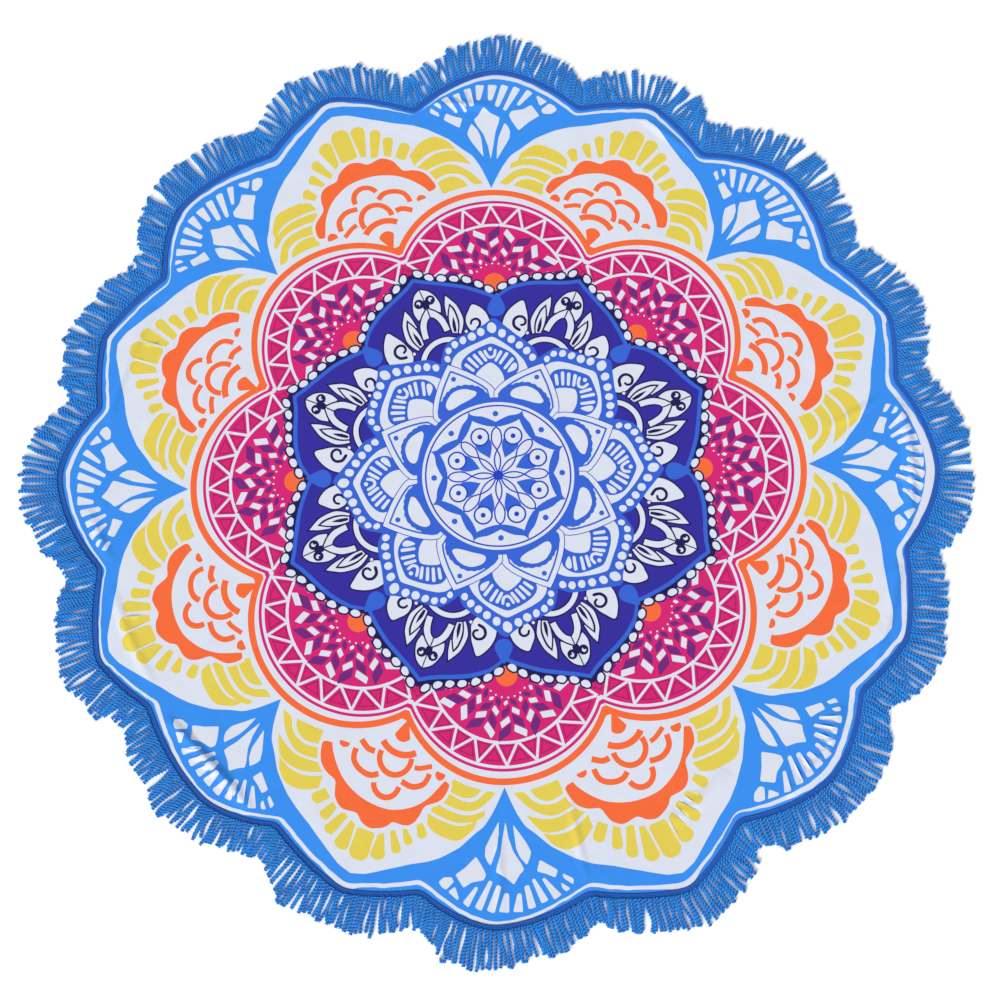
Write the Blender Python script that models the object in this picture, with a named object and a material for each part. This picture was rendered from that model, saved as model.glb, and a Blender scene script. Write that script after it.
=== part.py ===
"""Round beach towel: a lobed printed sheet lying flat, with a fringe trim sewn round its edge.

Metres, +Z up. The floor is z = 0 and the origin is at the middle of the towel's underside.
+Y points to the top of the towel as it is seen from above.
"""

from typing import NamedTuple

import bmesh
import bpy
import numpy as np
from mathutils import Vector
from mathutils.geometry import delaunay_2d_cdt

# Cloth
CLOTH_THICKNESS = 0.0015
PATTERN_CENTRE = (0.0008, 0.0023)  # where the middle of the lobes lies, so that the towel is centred
BULGE = {"shell": 1.55, "petal": 1.2}  # 1 is a straight flank, more is a rounder lobe
CORNER_ROUNDING_DEG = 1.3         # half the angle over which tips and valleys are rounded
FLAT_RINGS = (0.20, 0.40, 0.54)   # rings of points that hold the flat middle
FLAT_RING_POINTS = 24
RIM_INSET = 0.030                 # a ring of points this far inside the edge
RIM_FLAT = 0.012                  # folds die out over this width at the edge

# Fringe trim
LOCKS = 288
TRIM_GAP = 0.0003                 # between the cloth's edge and the heading
HEADING_WIDTH = 0.009
HEADING_THICKNESS = 0.0024
HEADING_ROUNDING = 2              # locks each way over which the heading's outer side rounds a corner
LOCK_LENGTH = 0.0495
BELLY_AT = 0.5                    # share of its length at which a lock is fullest
BELLY_THICKNESS = 0.0040
TIP_THICKNESS = 0.0024
ROOT_SHARE = 0.84                 # share of the pitch that a lock's root takes
BELLY_SHARE = 0.80
TIP_SHARE = 0.56
FAN_SPAN = 0.110                  # a lock follows the edge's direction averaged this far each way
SWAY_DEG = 4.5                    # how far the locks lean to one side or the other
CLUMP = 3                         # locks that lean together
LENGTH_SPREAD = 0.035             # how much the locks' lengths differ
SEED = 7


class Lobe(NamedTuple):
    """A lobe of the cloth's edge, and the valley that follows it anticlockwise."""

    kind: str
    tip_deg: float
    tip_reach: float
    valley_deg: float
    valley_reach: float


LOBES = (
    Lobe("shell", 1.2, 0.690, 14.2, 0.649),
    Lobe("petal", 23.2, 0.679, 34.2, 0.644),
    Lobe("shell", 46.7, 0.688, 58.6, 0.635),
    Lobe("petal", 68.2, 0.675, 78.3, 0.637),
    Lobe("shell", 90.6, 0.689, 102.8, 0.635),
    Lobe("petal", 114.0, 0.699, 124.5, 0.657),
    Lobe("shell", 138.4, 0.686, 148.5, 0.632),
    Lobe("petal", 160.1, 0.672, 170.0, 0.643),
    Lobe("shell", 179.9, 0.692, 193.4, 0.638),
    Lobe("petal", 205.3, 0.683, 213.9, 0.648),
    Lobe("shell", 228.4, 0.675, 238.0, 0.638),
    Lobe("petal", 249.8, 0.681, 259.5, 0.652),
    Lobe("shell", 269.3, 0.694, 281.8, 0.657),
    Lobe("petal", 294.1, 0.698, 304.1, 0.646),
    Lobe("shell", 317.1, 0.690, 328.6, 0.650),
    Lobe("petal", 337.9, 0.679, 349.7, 0.644),
)


class Fold(NamedTuple):
    """A soft ridge of the cloth along an arc, from one direction and reach to another."""

    name: str
    start_deg: float
    start_reach: float
    end_deg: float
    end_reach: float
    bow: float          # how far the middle of the arc lies outside the line between its ends
    half_width: float
    height: float


FOLDS = (
    Fold("right_pleat", -9.0, 0.640, 11.5, 0.645, 0.006, 0.013, 0.0075),
    Fold("right_petal_pleat", -27.0, 0.642, -12.5, 0.638, 0.003, 0.012, 0.0055),
    Fold("lower_left_pleat", 216.5, 0.637, 234.5, 0.644, -0.010, 0.013, 0.0075),
    Fold("lower_right_pleat", 311.0, 0.665, 325.5, 0.640, 0.008, 0.012, 0.0070),
    Fold("left_petal_pucker", 153.0, 0.622, 172.0, 0.629, -0.002, 0.013, 0.0045),
    Fold("left_valley_pucker", 184.5, 0.648, 192.5, 0.621, 0.000, 0.011, 0.0040),
    Fold("low_left_petal_crease", 196.0, 0.628, 212.0, 0.626, 0.000, 0.012, 0.0030),
    Fold("lower_crease", 281.9, 0.520, 281.7, 0.640, 0.000, 0.010, 0.0030),
    Fold("bottom_crease", 269.9, 0.560, 270.0, 0.675, 0.000, 0.010, 0.0032),
    Fold("top_tuck", 91.0, 0.628, 100.0, 0.640, 0.002, 0.011, 0.0042),
    Fold("upper_right_crease", 60.0, 0.628, 69.0, 0.652, 0.000, 0.011, 0.0034),
    Fold("lower_petal_wave", 295.0, 0.600, 307.0, 0.575, 0.004, 0.016, 0.0038),
    Fold("right_crease", 8.7, 0.525, 12.4, 0.628, 0.000, 0.010, 0.0025),
)
FOLD_STEP = 0.012                 # between points along a fold
FOLD_ROWS = (-1.0, -0.5, 0.0, 0.5, 1.0)   # rows of points across a fold, in half widths
FOLD_CLEARANCE = 0.006            # other points stay this far from a fold


def polar(degrees, reach):
    """The points at these directions and distances from the lobes' middle."""
    turn = np.radians(degrees)
    return np.stack([reach * np.cos(turn), reach * np.sin(turn)], axis=-1)


def edge_reach(degrees):
    """How far the cloth's edge is from the lobes' middle in each direction."""
    step = 0.1
    fine = np.arange(0.0, 360.0, step)
    reach = np.zeros_like(fine)
    for index, lobe in enumerate(LOBES):
        before = LOBES[index - 1]
        lap = 360.0 if index == 0 else 0.0
        valleys = ((before.valley_deg - lap, before.valley_reach), (lobe.valley_deg, lobe.valley_reach))
        for valley_deg, valley_reach in valleys:
            from_valley = (fine - valley_deg + 180.0) % 360.0 - 180.0
            share = from_valley / (lobe.tip_deg - valley_deg)
            flank = (share >= 0.0) & (share <= 1.0)
            rise = 1.0 - (1.0 - share[flank]) ** BULGE[lobe.kind]
            reach[flank] = valley_reach + (lobe.tip_reach - valley_reach) * rise

    half = round(CORNER_ROUNDING_DEG / step)
    weights = np.hanning(2 * half + 3)[1:-1]
    lapped = np.concatenate([reach[-half:], reach, reach[:half]])
    smooth = np.convolve(lapped, weights / weights.sum(), mode="valid")
    return np.interp(np.asarray(degrees), fine, smooth, period=360.0)


def closed_line(count):
    """Count points at equal steps round the cloth's edge, anticlockwise."""
    degrees = np.linspace(0.0, 360.0, 3601)
    line = polar(degrees, edge_reach(degrees))
    steps = np.linalg.norm(np.diff(line, axis=0), axis=1)
    travelled = np.concatenate([[0.0], np.cumsum(steps)])
    wanted = np.arange(count) / count * travelled[-1]
    return np.stack([np.interp(wanted, travelled, line[:, k]) for k in (0, 1)], axis=-1)


def unit(ways):
    """These directions at length 1."""
    return ways / np.linalg.norm(ways, axis=1, keepdims=True)


def ways_out(line):
    """The outward direction at each point of a closed anticlockwise line."""
    along = np.roll(line, -1, axis=0) - np.roll(line, 1, axis=0)
    return unit(np.stack([along[:, 1], -along[:, 0]], axis=-1))


def smoothed(values, reach):
    """Values round a closed line, each averaged with its neighbours up to this many places away."""
    weights = np.hanning(2 * reach + 3)[1:-1]
    weights /= weights.sum()
    lapped = np.concatenate([values[-reach:], values, values[:reach]])
    return np.stack([np.convolve(column, weights, mode="valid") for column in lapped.T], axis=-1)


def fold_line(fold, count):
    """Count points along the crest of a fold."""
    share = np.linspace(0.0, 1.0, count)
    degrees = fold.start_deg + (fold.end_deg - fold.start_deg) * share
    straight = fold.start_reach + (fold.end_reach - fold.start_reach) * share
    return polar(degrees, straight + fold.bow * 4.0 * share * (1.0 - share))


def fold_height(points):
    """How high the cloth's folds lift it at each point."""
    total = np.zeros(len(points))
    for fold in FOLDS:
        crest = fold_line(fold, 81)
        gaps = np.linalg.norm(points[:, None] - crest[None], axis=2)
        across = gaps.min(axis=1) / fold.half_width
        share = gaps.argmin(axis=1) / (len(crest) - 1)
        taper = np.sin(np.pi * share) ** 0.6
        bump = np.where(across < 1.0, np.cos(np.pi / 2 * np.minimum(across, 1.0)) ** 2, 0.0)
        total = np.maximum(total, fold.height * taper * bump)

    inside = edge_reach(np.degrees(np.arctan2(points[:, 1], points[:, 0]))) - np.linalg.norm(points, axis=1)
    fade = np.clip(inside / RIM_FLAT, 0.0, 1.0)
    return total * fade * fade * (3.0 - 2.0 * fade)


def fold_points():
    """Points along and across each fold, so that the sheet bends there."""
    found = []
    for fold in FOLDS:
        length = np.linalg.norm(np.diff(fold_line(fold, 81), axis=0), axis=1).sum()
        crest = fold_line(fold, max(4, round(length / FOLD_STEP)))
        along = np.gradient(crest, axis=0)
        along /= np.linalg.norm(along, axis=1, keepdims=True)
        side = np.stack([along[:, 1], -along[:, 0]], axis=-1)
        found.extend(crest + side * fold.half_width * row for row in FOLD_ROWS)
    return np.concatenate(found)


def flat_points():
    """The rings of points that hold the flat parts, clear of the folds."""
    turns = np.arange(FLAT_RING_POINTS) * 360.0 / FLAT_RING_POINTS
    rings = [polar(turns, np.full(FLAT_RING_POINTS, reach)) for reach in FLAT_RINGS]
    rim_turns = np.arange(0.0, 360.0, 3.0)
    rings.append(polar(rim_turns, edge_reach(rim_turns) - RIM_INSET))
    points = np.concatenate([*rings, [[0.0, 0.0]]])
    crests = np.concatenate([fold_line(fold, 81) for fold in FOLDS])
    gaps = np.linalg.norm(points[:, None] - crests[None], axis=2).min(axis=1)
    return points[gaps > max(fold.half_width for fold in FOLDS) + FOLD_CLEARANCE]


def sheet_points(edge):
    """All points of the cloth, its edge first."""
    inner = np.concatenate([fold_points(), flat_points()])
    turns = np.degrees(np.arctan2(inner[:, 1], inner[:, 0]))
    inside = np.linalg.norm(inner, axis=1) < edge_reach(turns) - FOLD_CLEARANCE
    return np.concatenate([edge, inner[inside]])


def material(name, colour, roughness):
    """A plain fabric material."""
    made = bpy.data.materials.new(name)
    made.use_nodes = True
    shader = made.node_tree.nodes["Principled BSDF"]
    shader.inputs["Base Color"].default_value = (*colour, 1.0)
    shader.inputs["Roughness"].default_value = roughness
    shader.inputs["Metallic"].default_value = 0.0
    return made


def add_object(name, shape, finish):
    """Puts a finished bmesh into the scene as an object of its own."""
    mesh = bpy.data.meshes.new(name)
    shape.to_mesh(mesh)
    shape.free()
    mesh.materials.append(finish)
    made = bpy.data.objects.new(name, mesh)
    bpy.context.scene.collection.objects.link(made)
    made.location = (*PATTERN_CENTRE, 0.0)
    return made


def build_cloth(edge):
    """The printed sheet: its underside, flat but for the folds, raised to the cloth's thickness."""
    points = sheet_points(edge)
    border = [(k, (k + 1) % len(edge)) for k in range(len(edge))]
    flat = [Vector(point) for point in points.tolist()]
    corners, _, triangles, *_ = delaunay_2d_cdt(flat, border, [], 1, 1e-6)
    heights = fold_height(np.array([tuple(corner) for corner in corners]))
    shape = bmesh.new()
    verts = [shape.verts.new((corner.x, corner.y, height)) for corner, height in zip(corners, heights)]
    for triangle in triangles:
        shape.faces.new([verts[index] for index in triangle])
    raised = bmesh.ops.extrude_face_region(shape, geom=shape.faces[:], use_keep_orig=True)["geom"]
    upper = [item for item in raised if isinstance(item, bmesh.types.BMVert)]
    bmesh.ops.translate(shape, verts=upper, vec=(0.0, 0.0, CLOTH_THICKNESS))
    bmesh.ops.recalc_face_normals(shape, faces=shape.faces)
    return add_object("cloth", shape, material("printed_cloth", (0.75, 0.78, 0.86), 0.85))


def lock_directions(line):
    """The way each lock points: out from the edge, leaning with its neighbours."""
    pitch = np.linalg.norm(np.diff(line, axis=0), axis=1).mean()
    spread = max(1, round(FAN_SPAN / pitch))
    out = smoothed(ways_out(line), spread)
    rng = np.random.default_rng(SEED)
    clumps = rng.uniform(-1.0, 1.0, len(line) // CLUMP)
    lean = np.radians(SWAY_DEG) * smoothed(np.repeat(clumps, CLUMP)[:, None], 1)[:, 0]
    turned = (out[:, 0] + 1j * out[:, 1]) * np.exp(1j * lean)
    return unit(np.stack([turned.real, turned.imag], axis=-1))


def across_widths(centres, share):
    """Half the width of each lock here, from how near its neighbours are."""
    gap = np.linalg.norm(np.roll(centres, -1, axis=0) - centres, axis=1)
    return 0.5 * share * np.minimum(gap, np.roll(gap, 1))[:, None]


def build_fringe(edge):
    """The trim: a flat heading all round the cloth, with the locks of cord fused to its outer side."""
    out = ways_out(edge)
    ahead = np.roll(edge, -1, axis=0) - edge
    normal = unit(np.stack([ahead[:, 1], -ahead[:, 0]], axis=-1))
    inner = edge + out * TRIM_GAP / (out * normal).sum(axis=1, keepdims=True)
    outer = edge + unit(smoothed(out, HEADING_ROUNDING)) * HEADING_WIDTH

    step = np.roll(outer, -1, axis=0) - outer
    starts = outer + step * (1.0 - ROOT_SHARE) / 2.0
    ends = outer + step * (1.0 + ROOT_SHARE) / 2.0
    sections = [(starts, ends, HEADING_THICKNESS)]

    roots = (starts + ends) / 2.0
    ways = lock_directions(edge + ahead / 2.0)
    side = np.stack([-ways[:, 1], ways[:, 0]], axis=-1)
    spread = np.random.default_rng(SEED + 1).uniform(-LENGTH_SPREAD, LENGTH_SPREAD, (LOCKS, 1))
    lengths = LOCK_LENGTH * (1.0 + spread)
    stages = ((BELLY_AT, BELLY_SHARE, BELLY_THICKNESS), (1.0, TIP_SHARE, TIP_THICKNESS))
    for length_share, width_share, thickness in stages:
        centres = roots + ways * lengths * length_share
        half = across_widths(centres, width_share)
        sections.append((centres - side * half, centres + side * half, thickness))

    shape = bmesh.new()

    def column(point, thickness):
        return [shape.verts.new((*point, height)) for height in (0.0, thickness)]

    inside = [column(point, HEADING_THICKNESS) for point in inner]
    rows = [
        [(column(a, thickness), column(b, thickness)) for a, b in zip(starts_at, ends_at)]
        for starts_at, ends_at, thickness in sections
    ]
    for index in range(LOCKS):
        after = (index + 1) % LOCKS
        here, then = inside[index], inside[after]
        first, last = rows[0][index]
        following = rows[0][after][0]
        for level in (0, 1):
            shape.faces.new([here[level], first[level], last[level], then[level]])
            shape.faces.new([then[level], last[level], following[level]])
        shape.faces.new([here[0], here[1], then[1], then[0]])
        shape.faces.new([last[0], last[1], following[1], following[0]])
        for near, far in zip(rows, rows[1:]):
            (a, b), (c, d) = near[index], far[index]
            shape.faces.new([a[1], c[1], d[1], b[1]])
            shape.faces.new([a[0], b[0], d[0], c[0]])
            shape.faces.new([a[0], c[0], c[1], a[1]])
            shape.faces.new([b[0], b[1], d[1], d[0]])
        a, b = rows[-1][index]
        shape.faces.new([a[0], b[0], b[1], a[1]])
    bmesh.ops.recalc_face_normals(shape, faces=shape.faces)
    return add_object("fringe", shape, material("blue_cord", (0.02, 0.19, 0.72), 0.9))


def main():
    for old in list(bpy.data.objects):
        bpy.data.objects.remove(old, do_unlink=True)
    edge = closed_line(LOCKS)
    build_cloth(edge)
    build_fringe(edge)


main()
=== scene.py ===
"""Round beach towel: the printed cloth, its trim's heading and its twisted fringe, laid on a pale floor.

Metres, +Z up, in the CAD model's frame. The print is drawn evenly in millimetres round its own middle,
and then laid on the cloth as unevenly as the real one lies.
"""

import logging
import math
from dataclasses import dataclass, field
from enum import Enum
from typing import NamedTuple

import bpy
import numpy as np
from mathutils.geometry import delaunay_2d_cdt
from numpy.linalg import norm
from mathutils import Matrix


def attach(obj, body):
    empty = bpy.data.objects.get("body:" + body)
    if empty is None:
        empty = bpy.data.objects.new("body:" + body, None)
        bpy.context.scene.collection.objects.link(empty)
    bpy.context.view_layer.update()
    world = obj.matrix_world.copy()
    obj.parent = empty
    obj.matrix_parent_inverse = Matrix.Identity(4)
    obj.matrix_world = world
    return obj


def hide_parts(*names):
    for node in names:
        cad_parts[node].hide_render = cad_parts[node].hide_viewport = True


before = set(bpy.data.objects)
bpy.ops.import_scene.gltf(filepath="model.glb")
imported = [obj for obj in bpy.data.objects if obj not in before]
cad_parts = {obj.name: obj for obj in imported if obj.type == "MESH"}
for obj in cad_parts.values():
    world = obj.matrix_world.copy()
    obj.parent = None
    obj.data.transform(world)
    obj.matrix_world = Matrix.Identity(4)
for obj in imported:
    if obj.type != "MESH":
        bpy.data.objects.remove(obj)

Pair = tuple[float, float]
Points = np.ndarray  # n rows of x and y, or of u out along an axis and v anticlockwise from it
Socket = bpy.types.NodeSocket
Piece = bpy.types.Object

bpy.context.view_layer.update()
LOG = logging.getLogger("towel")

# The cloth and its trim, as the CAD source has them
CLOTH_THICKNESS = 0.0015
PATTERN_CENTRE = (0.0008, 0.0023)  # where the middle of the lobes lies, so that the towel is centred
BULGE = {"shell": 1.55, "petal": 1.2}  # 1 is a straight flank, more is a rounder lobe
CORNER_ROUNDING_DEG = 1.3
FINE_STEP_DEG = 0.1  # between the directions that the lobed lines are worked out in
RIM_FLAT = 0.012  # folds die out over this width at the edge
HEADING_WIDTH = 0.009

SECTORS = 8  # the print's axes through its shells, and as many through its petals
SECTOR_DEG = 360.0 / SECTORS
PETAL_AXIS_DEG = SECTOR_DEG / 2.0
MM = 0.001


class Lobe(NamedTuple):
    """A lobe of a scalloped line, and the valley that follows it anticlockwise."""

    kind: str
    tip_deg: float
    tip_reach: float
    valley_deg: float
    valley_reach: float


LOBES = (
    Lobe("shell", 1.2, 0.690, 14.2, 0.649),
    Lobe("petal", 23.2, 0.679, 34.2, 0.644),
    Lobe("shell", 46.7, 0.688, 58.6, 0.635),
    Lobe("petal", 68.2, 0.675, 78.3, 0.637),
    Lobe("shell", 90.6, 0.689, 102.8, 0.635),
    Lobe("petal", 114.0, 0.699, 124.5, 0.657),
    Lobe("shell", 138.4, 0.686, 148.5, 0.632),
    Lobe("petal", 160.1, 0.672, 170.0, 0.643),
    Lobe("shell", 179.9, 0.692, 193.4, 0.638),
    Lobe("petal", 205.3, 0.683, 213.9, 0.648),
    Lobe("shell", 228.4, 0.675, 238.0, 0.638),
    Lobe("petal", 249.8, 0.681, 259.5, 0.652),
    Lobe("shell", 269.3, 0.694, 281.8, 0.657),
    Lobe("petal", 294.1, 0.698, 304.1, 0.646),
    Lobe("shell", 317.1, 0.690, 328.6, 0.650),
    Lobe("petal", 337.9, 0.679, 349.7, 0.644),
)

# The printed wave line's outer side as it is drawn, before it is laid
WAVE_SHELL_TIP = 0.690
WAVE_PETAL_TIP = 0.682
WAVE_VALLEY = 0.643
WAVE_VALLEY_AFTER_SHELL_DEG = 11.6
WAVE_VALLEY_AFTER_PETAL_DEG = 10.2
EVEN_LOBES = tuple(
    lobe
    for k in range(SECTORS)
    for lobe in (
        Lobe("shell", k * SECTOR_DEG, WAVE_SHELL_TIP,
             k * SECTOR_DEG + WAVE_VALLEY_AFTER_SHELL_DEG, WAVE_VALLEY),
        Lobe("petal", k * SECTOR_DEG + PETAL_AXIS_DEG, WAVE_PETAL_TIP,
             k * SECTOR_DEG + PETAL_AXIS_DEG + WAVE_VALLEY_AFTER_PETAL_DEG, WAVE_VALLEY),
    )
)


class Fold(NamedTuple):
    """A soft ridge of the cloth along an arc, from one direction and reach to another."""

    name: str
    start_deg: float
    start_reach: float
    end_deg: float
    end_reach: float
    bow: float  # how far the middle of the arc lies outside the line between its ends
    half_width: float
    height: float


FOLDS = (
    Fold("right_pleat", -9.0, 0.640, 11.5, 0.645, 0.006, 0.013, 0.0075),
    Fold("right_petal_pleat", -27.0, 0.642, -12.5, 0.638, 0.003, 0.012, 0.0055),
    Fold("lower_left_pleat", 216.5, 0.637, 234.5, 0.644, -0.010, 0.013, 0.0075),
    Fold("lower_right_pleat", 311.0, 0.665, 325.5, 0.640, 0.008, 0.012, 0.0070),
    Fold("left_petal_pucker", 153.0, 0.622, 172.0, 0.629, -0.002, 0.013, 0.0045),
    Fold("left_valley_pucker", 184.5, 0.648, 192.5, 0.621, 0.000, 0.011, 0.0040),
    Fold("low_left_petal_crease", 196.0, 0.628, 212.0, 0.626, 0.000, 0.012, 0.0030),
    Fold("lower_crease", 281.9, 0.520, 281.7, 0.640, 0.000, 0.010, 0.0030),
    Fold("bottom_crease", 269.9, 0.560, 270.0, 0.675, 0.000, 0.010, 0.0032),
    Fold("top_tuck", 91.0, 0.628, 100.0, 0.640, 0.002, 0.011, 0.0042),
    Fold("upper_right_crease", 60.0, 0.628, 69.0, 0.652, 0.000, 0.011, 0.0034),
    Fold("lower_petal_wave", 295.0, 0.600, 307.0, 0.575, 0.004, 0.016, 0.0038),
    Fold("right_crease", 8.7, 0.525, 12.4, 0.628, 0.000, 0.010, 0.0025),
)


# ---------------------------------------------------------------- lines and outlines

def polar(degrees: np.ndarray | float, reach: np.ndarray | float) -> Points:
    """The points at these directions and distances from the middle."""
    turn = np.radians(degrees)
    return np.stack([reach * np.cos(turn), reach * np.sin(turn)], axis=-1)


def lobed_reach(degrees: np.ndarray | float, lobes: tuple[Lobe, ...]) -> np.ndarray:
    """How far a lobed line is from its middle.

    Args:
        degrees: the directions asked for.
        lobes: the lobes all round, anticlockwise.

    Returns:
        The reach in each direction, in metres.
    """
    fine = np.arange(0.0, 360.0, FINE_STEP_DEG)
    reach = np.zeros_like(fine)
    for index, lobe in enumerate(lobes):
        before = lobes[index - 1]
        lap = 360.0 if index == 0 else 0.0
        valleys = ((before.valley_deg - lap, before.valley_reach), (lobe.valley_deg, lobe.valley_reach))
        for valley_deg, valley_reach in valleys:
            from_valley = (fine - valley_deg + 180.0) % 360.0 - 180.0
            share = from_valley / (lobe.tip_deg - valley_deg)
            flank = (share >= 0.0) & (share <= 1.0)
            rise = 1.0 - (1.0 - share[flank]) ** BULGE[lobe.kind]
            reach[flank] = valley_reach + (lobe.tip_reach - valley_reach) * rise

    half = round(CORNER_ROUNDING_DEG / FINE_STEP_DEG)
    weights = np.hanning(2 * half + 3)[1:-1]
    lapped = np.concatenate([reach[-half:], reach, reach[:half]])
    smooth = np.convolve(lapped, weights / weights.sum(), mode="valid")
    return np.interp(np.asarray(degrees), fine, smooth, period=360.0)


def edge_reach(degrees: np.ndarray | float) -> np.ndarray:
    """How far the cloth's edge is from the lobes' middle in each direction."""
    return lobed_reach(degrees, LOBES)


def edge_line(count: int) -> Points:
    """Count points at equal steps round the cloth's edge, anticlockwise.

    Args:
        count: how many points.

    Returns:
        The points, from the first direction on.
    """
    degrees = np.linspace(0.0, 360.0, round(360.0 / FINE_STEP_DEG) + 1)
    line = polar(degrees, edge_reach(degrees))
    travelled = np.concatenate([[0.0], np.cumsum(norm(np.diff(line, axis=0), axis=1))])
    wanted = np.arange(count) / count * travelled[-1]
    return np.stack([np.interp(wanted, travelled, line[:, k]) for k in (0, 1)], axis=-1)


def unit(ways: Points) -> Points:
    """These directions at length 1."""
    return ways / np.maximum(norm(ways, axis=1, keepdims=True), 1e-12)


def ways_out(line: Points) -> Points:
    """The outward direction at each point of a closed anticlockwise line."""
    along = np.roll(line, -1, axis=0) - np.roll(line, 1, axis=0)
    return unit(np.stack([along[:, 1], -along[:, 0]], axis=-1))


def smoothed(values: np.ndarray, reach: int) -> np.ndarray:
    """Columns of values round a closed line, each averaged with its neighbours.

    Args:
        values: a row for each point of the line.
        reach: how many neighbours each way.

    Returns:
        The averaged values.
    """
    weights = np.hanning(2 * reach + 3)[1:-1]
    weights /= weights.sum()
    lapped = np.concatenate([values[-reach:], values, values[:reach]])
    return np.stack([np.convolve(column, weights, mode="valid") for column in lapped.T], axis=-1)


def arc(centre: Pair, radius: float, start_deg: float, end_deg: float, count: int = 16) -> Points:
    """An open arc of a circle."""
    return np.array(centre) + polar(np.linspace(start_deg, end_deg, count), radius)


def ring(centre: Pair, radius: float, count: int = 20) -> Points:
    """The outline of a circle."""
    return arc(centre, radius, 0.0, 360.0 * (1 - 1 / count), count)


def soft(points: list | Points, steps: int = 5, closed: bool = False) -> Points:
    """A smooth line through a few points.

    Args:
        points: the points that it passes through.
        steps: how many pieces each span is cut into.
        closed: whether it runs round to its first point again.

    Returns:
        The line's points.
    """
    held = np.asarray(points, float)
    if closed:
        before, after = np.roll(held, 1, axis=0), np.roll(held, -1, axis=0)
        spans = range(len(held))
    else:
        before = np.concatenate([held[:1], held[:-1]])
        after = np.concatenate([held[1:], held[-1:]])
        spans = range(len(held) - 1)
    lean = (after - before) / 2.0
    share = np.arange(steps)[:, None] / steps
    h1, h2 = 2 * share**3 - 3 * share**2 + 1, share**3 - 2 * share**2 + share
    h3, h4 = -2 * share**3 + 3 * share**2, share**3 - share**2
    found = []
    for k in spans:
        n = (k + 1) % len(held)
        found.append(h1 * held[k] + h2 * lean[k] + h3 * held[n] + h4 * lean[n])
    if not closed:
        found.append(held[-1:])
    return np.concatenate(found)


def flipped(outline: Points) -> Points:
    """The same shape on the other side of its axis."""
    return np.asarray(outline, float) * (1.0, -1.0)


def both_sides(half: Points) -> Points:
    """An outline from its half on one side, which starts and ends on or beside the axis."""
    return np.concatenate([half, flipped(half)[::-1]])


def stroke(line: Points, width: float, end_width: float | None = None, round_ends: bool = False) -> Points:
    """The outline of a band that follows a line.

    Args:
        line: its middle.
        width: its width where the line starts.
        end_width: its width where the line ends, if it tapers.
        round_ends: whether its ends are half circles.

    Returns:
        The band's outline.
    """
    line = np.asarray(line, float)
    along = unit(np.gradient(line, axis=0))
    side = np.stack([-along[:, 1], along[:, 0]], axis=-1)
    half = np.linspace(width, width if end_width is None else end_width, len(line))[:, None] / 2.0
    left, right = line + side * half, line - side * half
    if not round_ends:
        return np.concatenate([left, right[::-1]])
    turns = np.radians([60.0, 30.0, 0.0, -30.0, -60.0])[:, None]
    far = line[-1] + half[-1] * (along[-1] * np.cos(turns) + side[-1] * np.sin(turns))
    near = line[0] - half[0] * (along[0] * np.cos(turns) + side[0] * np.sin(turns))
    return np.concatenate([left, far, right[::-1], near])


def rounded(corners: list | Points, radius: float = 2.0) -> Points:
    """The outline of a shape with straight sides and rounded corners.

    Args:
        corners: its corners.
        radius: how far from each corner the rounding starts.

    Returns:
        Its outline.
    """
    held = np.asarray(corners, float)
    found = []
    for before, corner, after in zip(np.roll(held, 1, axis=0), held, np.roll(held, -1, axis=0)):
        back, ahead = before - corner, after - corner
        back_length, ahead_length = norm(back), norm(ahead)
        cut = min(radius, 0.45 * back_length, 0.45 * ahead_length)
        start, end = corner + back * cut / back_length, corner + ahead * cut / ahead_length
        found += [start, (start + 2.0 * corner + end) / 4.0, end]
    return np.array(found)


def anticlockwise(outline: Points) -> Points:
    """The outline, turned round if it runs clockwise."""
    x, y = outline[:, 0], outline[:, 1]
    doubled_area = np.dot(x, np.roll(y, -1)) - np.dot(y, np.roll(x, -1))
    return outline if doubled_area > 0.0 else outline[::-1]


def tidied(outline: Points, nearest: float = 0.05) -> Points:
    """The outline anticlockwise, without points that lie on one another.

    Args:
        outline: the outline.
        nearest: how close two points may lie.

    Returns:
        The outline without them.
    """
    outline = anticlockwise(np.asarray(outline, float))
    kept = [outline[0]]
    for point in outline[1:]:
        if np.hypot(*(point - kept[-1])) > nearest:
            kept.append(point)
    if len(kept) > 1 and np.hypot(*(kept[-1] - kept[0])) <= nearest:
        kept.pop()
    return np.array(kept)


def grown(outline: Points, width: float) -> Points:
    """The outline moved outwards by a width, or inwards by a negative one.

    Args:
        outline: the outline.
        width: how far it moves.

    Returns:
        The moved outline, with its sharp corners held back.
    """
    outline = tidied(outline)
    ahead = unit(np.roll(outline, -1, axis=0) - outline)
    behind = np.roll(ahead, 1, axis=0)
    corner = unit(ahead + behind)
    out = np.stack([corner[:, 1], -corner[:, 0]], axis=-1)
    sharpness = np.sqrt(np.maximum((1.0 + (ahead * behind).sum(axis=1)) / 2.0, 0.2))
    return outline + out * (width / sharpness)[:, None]


def turned(outline: Points, degrees: float) -> Points:
    """The outline turned about the middle."""
    spin = (outline[:, 0] + 1j * outline[:, 1]) * np.exp(1j * math.radians(degrees))
    return np.stack([spin.real, spin.imag], axis=-1)


def around(knots: list[Pair], step_deg: float = 1.5) -> Points:
    """A closed line round the middle whose reach repeats in every sector.

    Args:
        knots: directions within one sector and the reach there.
        step_deg: how far apart its points are.

    Returns:
        The line, anticlockwise.
    """
    degrees = np.arange(0.0, 360.0, step_deg)
    at, reach = np.array(knots, float).T
    at = at % SECTOR_DEG
    order = np.argsort(at)
    return polar(degrees, np.interp(degrees % SECTOR_DEG, at[order], reach[order], period=SECTOR_DEG))


# ---------------------------------------------------------------- dyes and finishes

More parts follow.
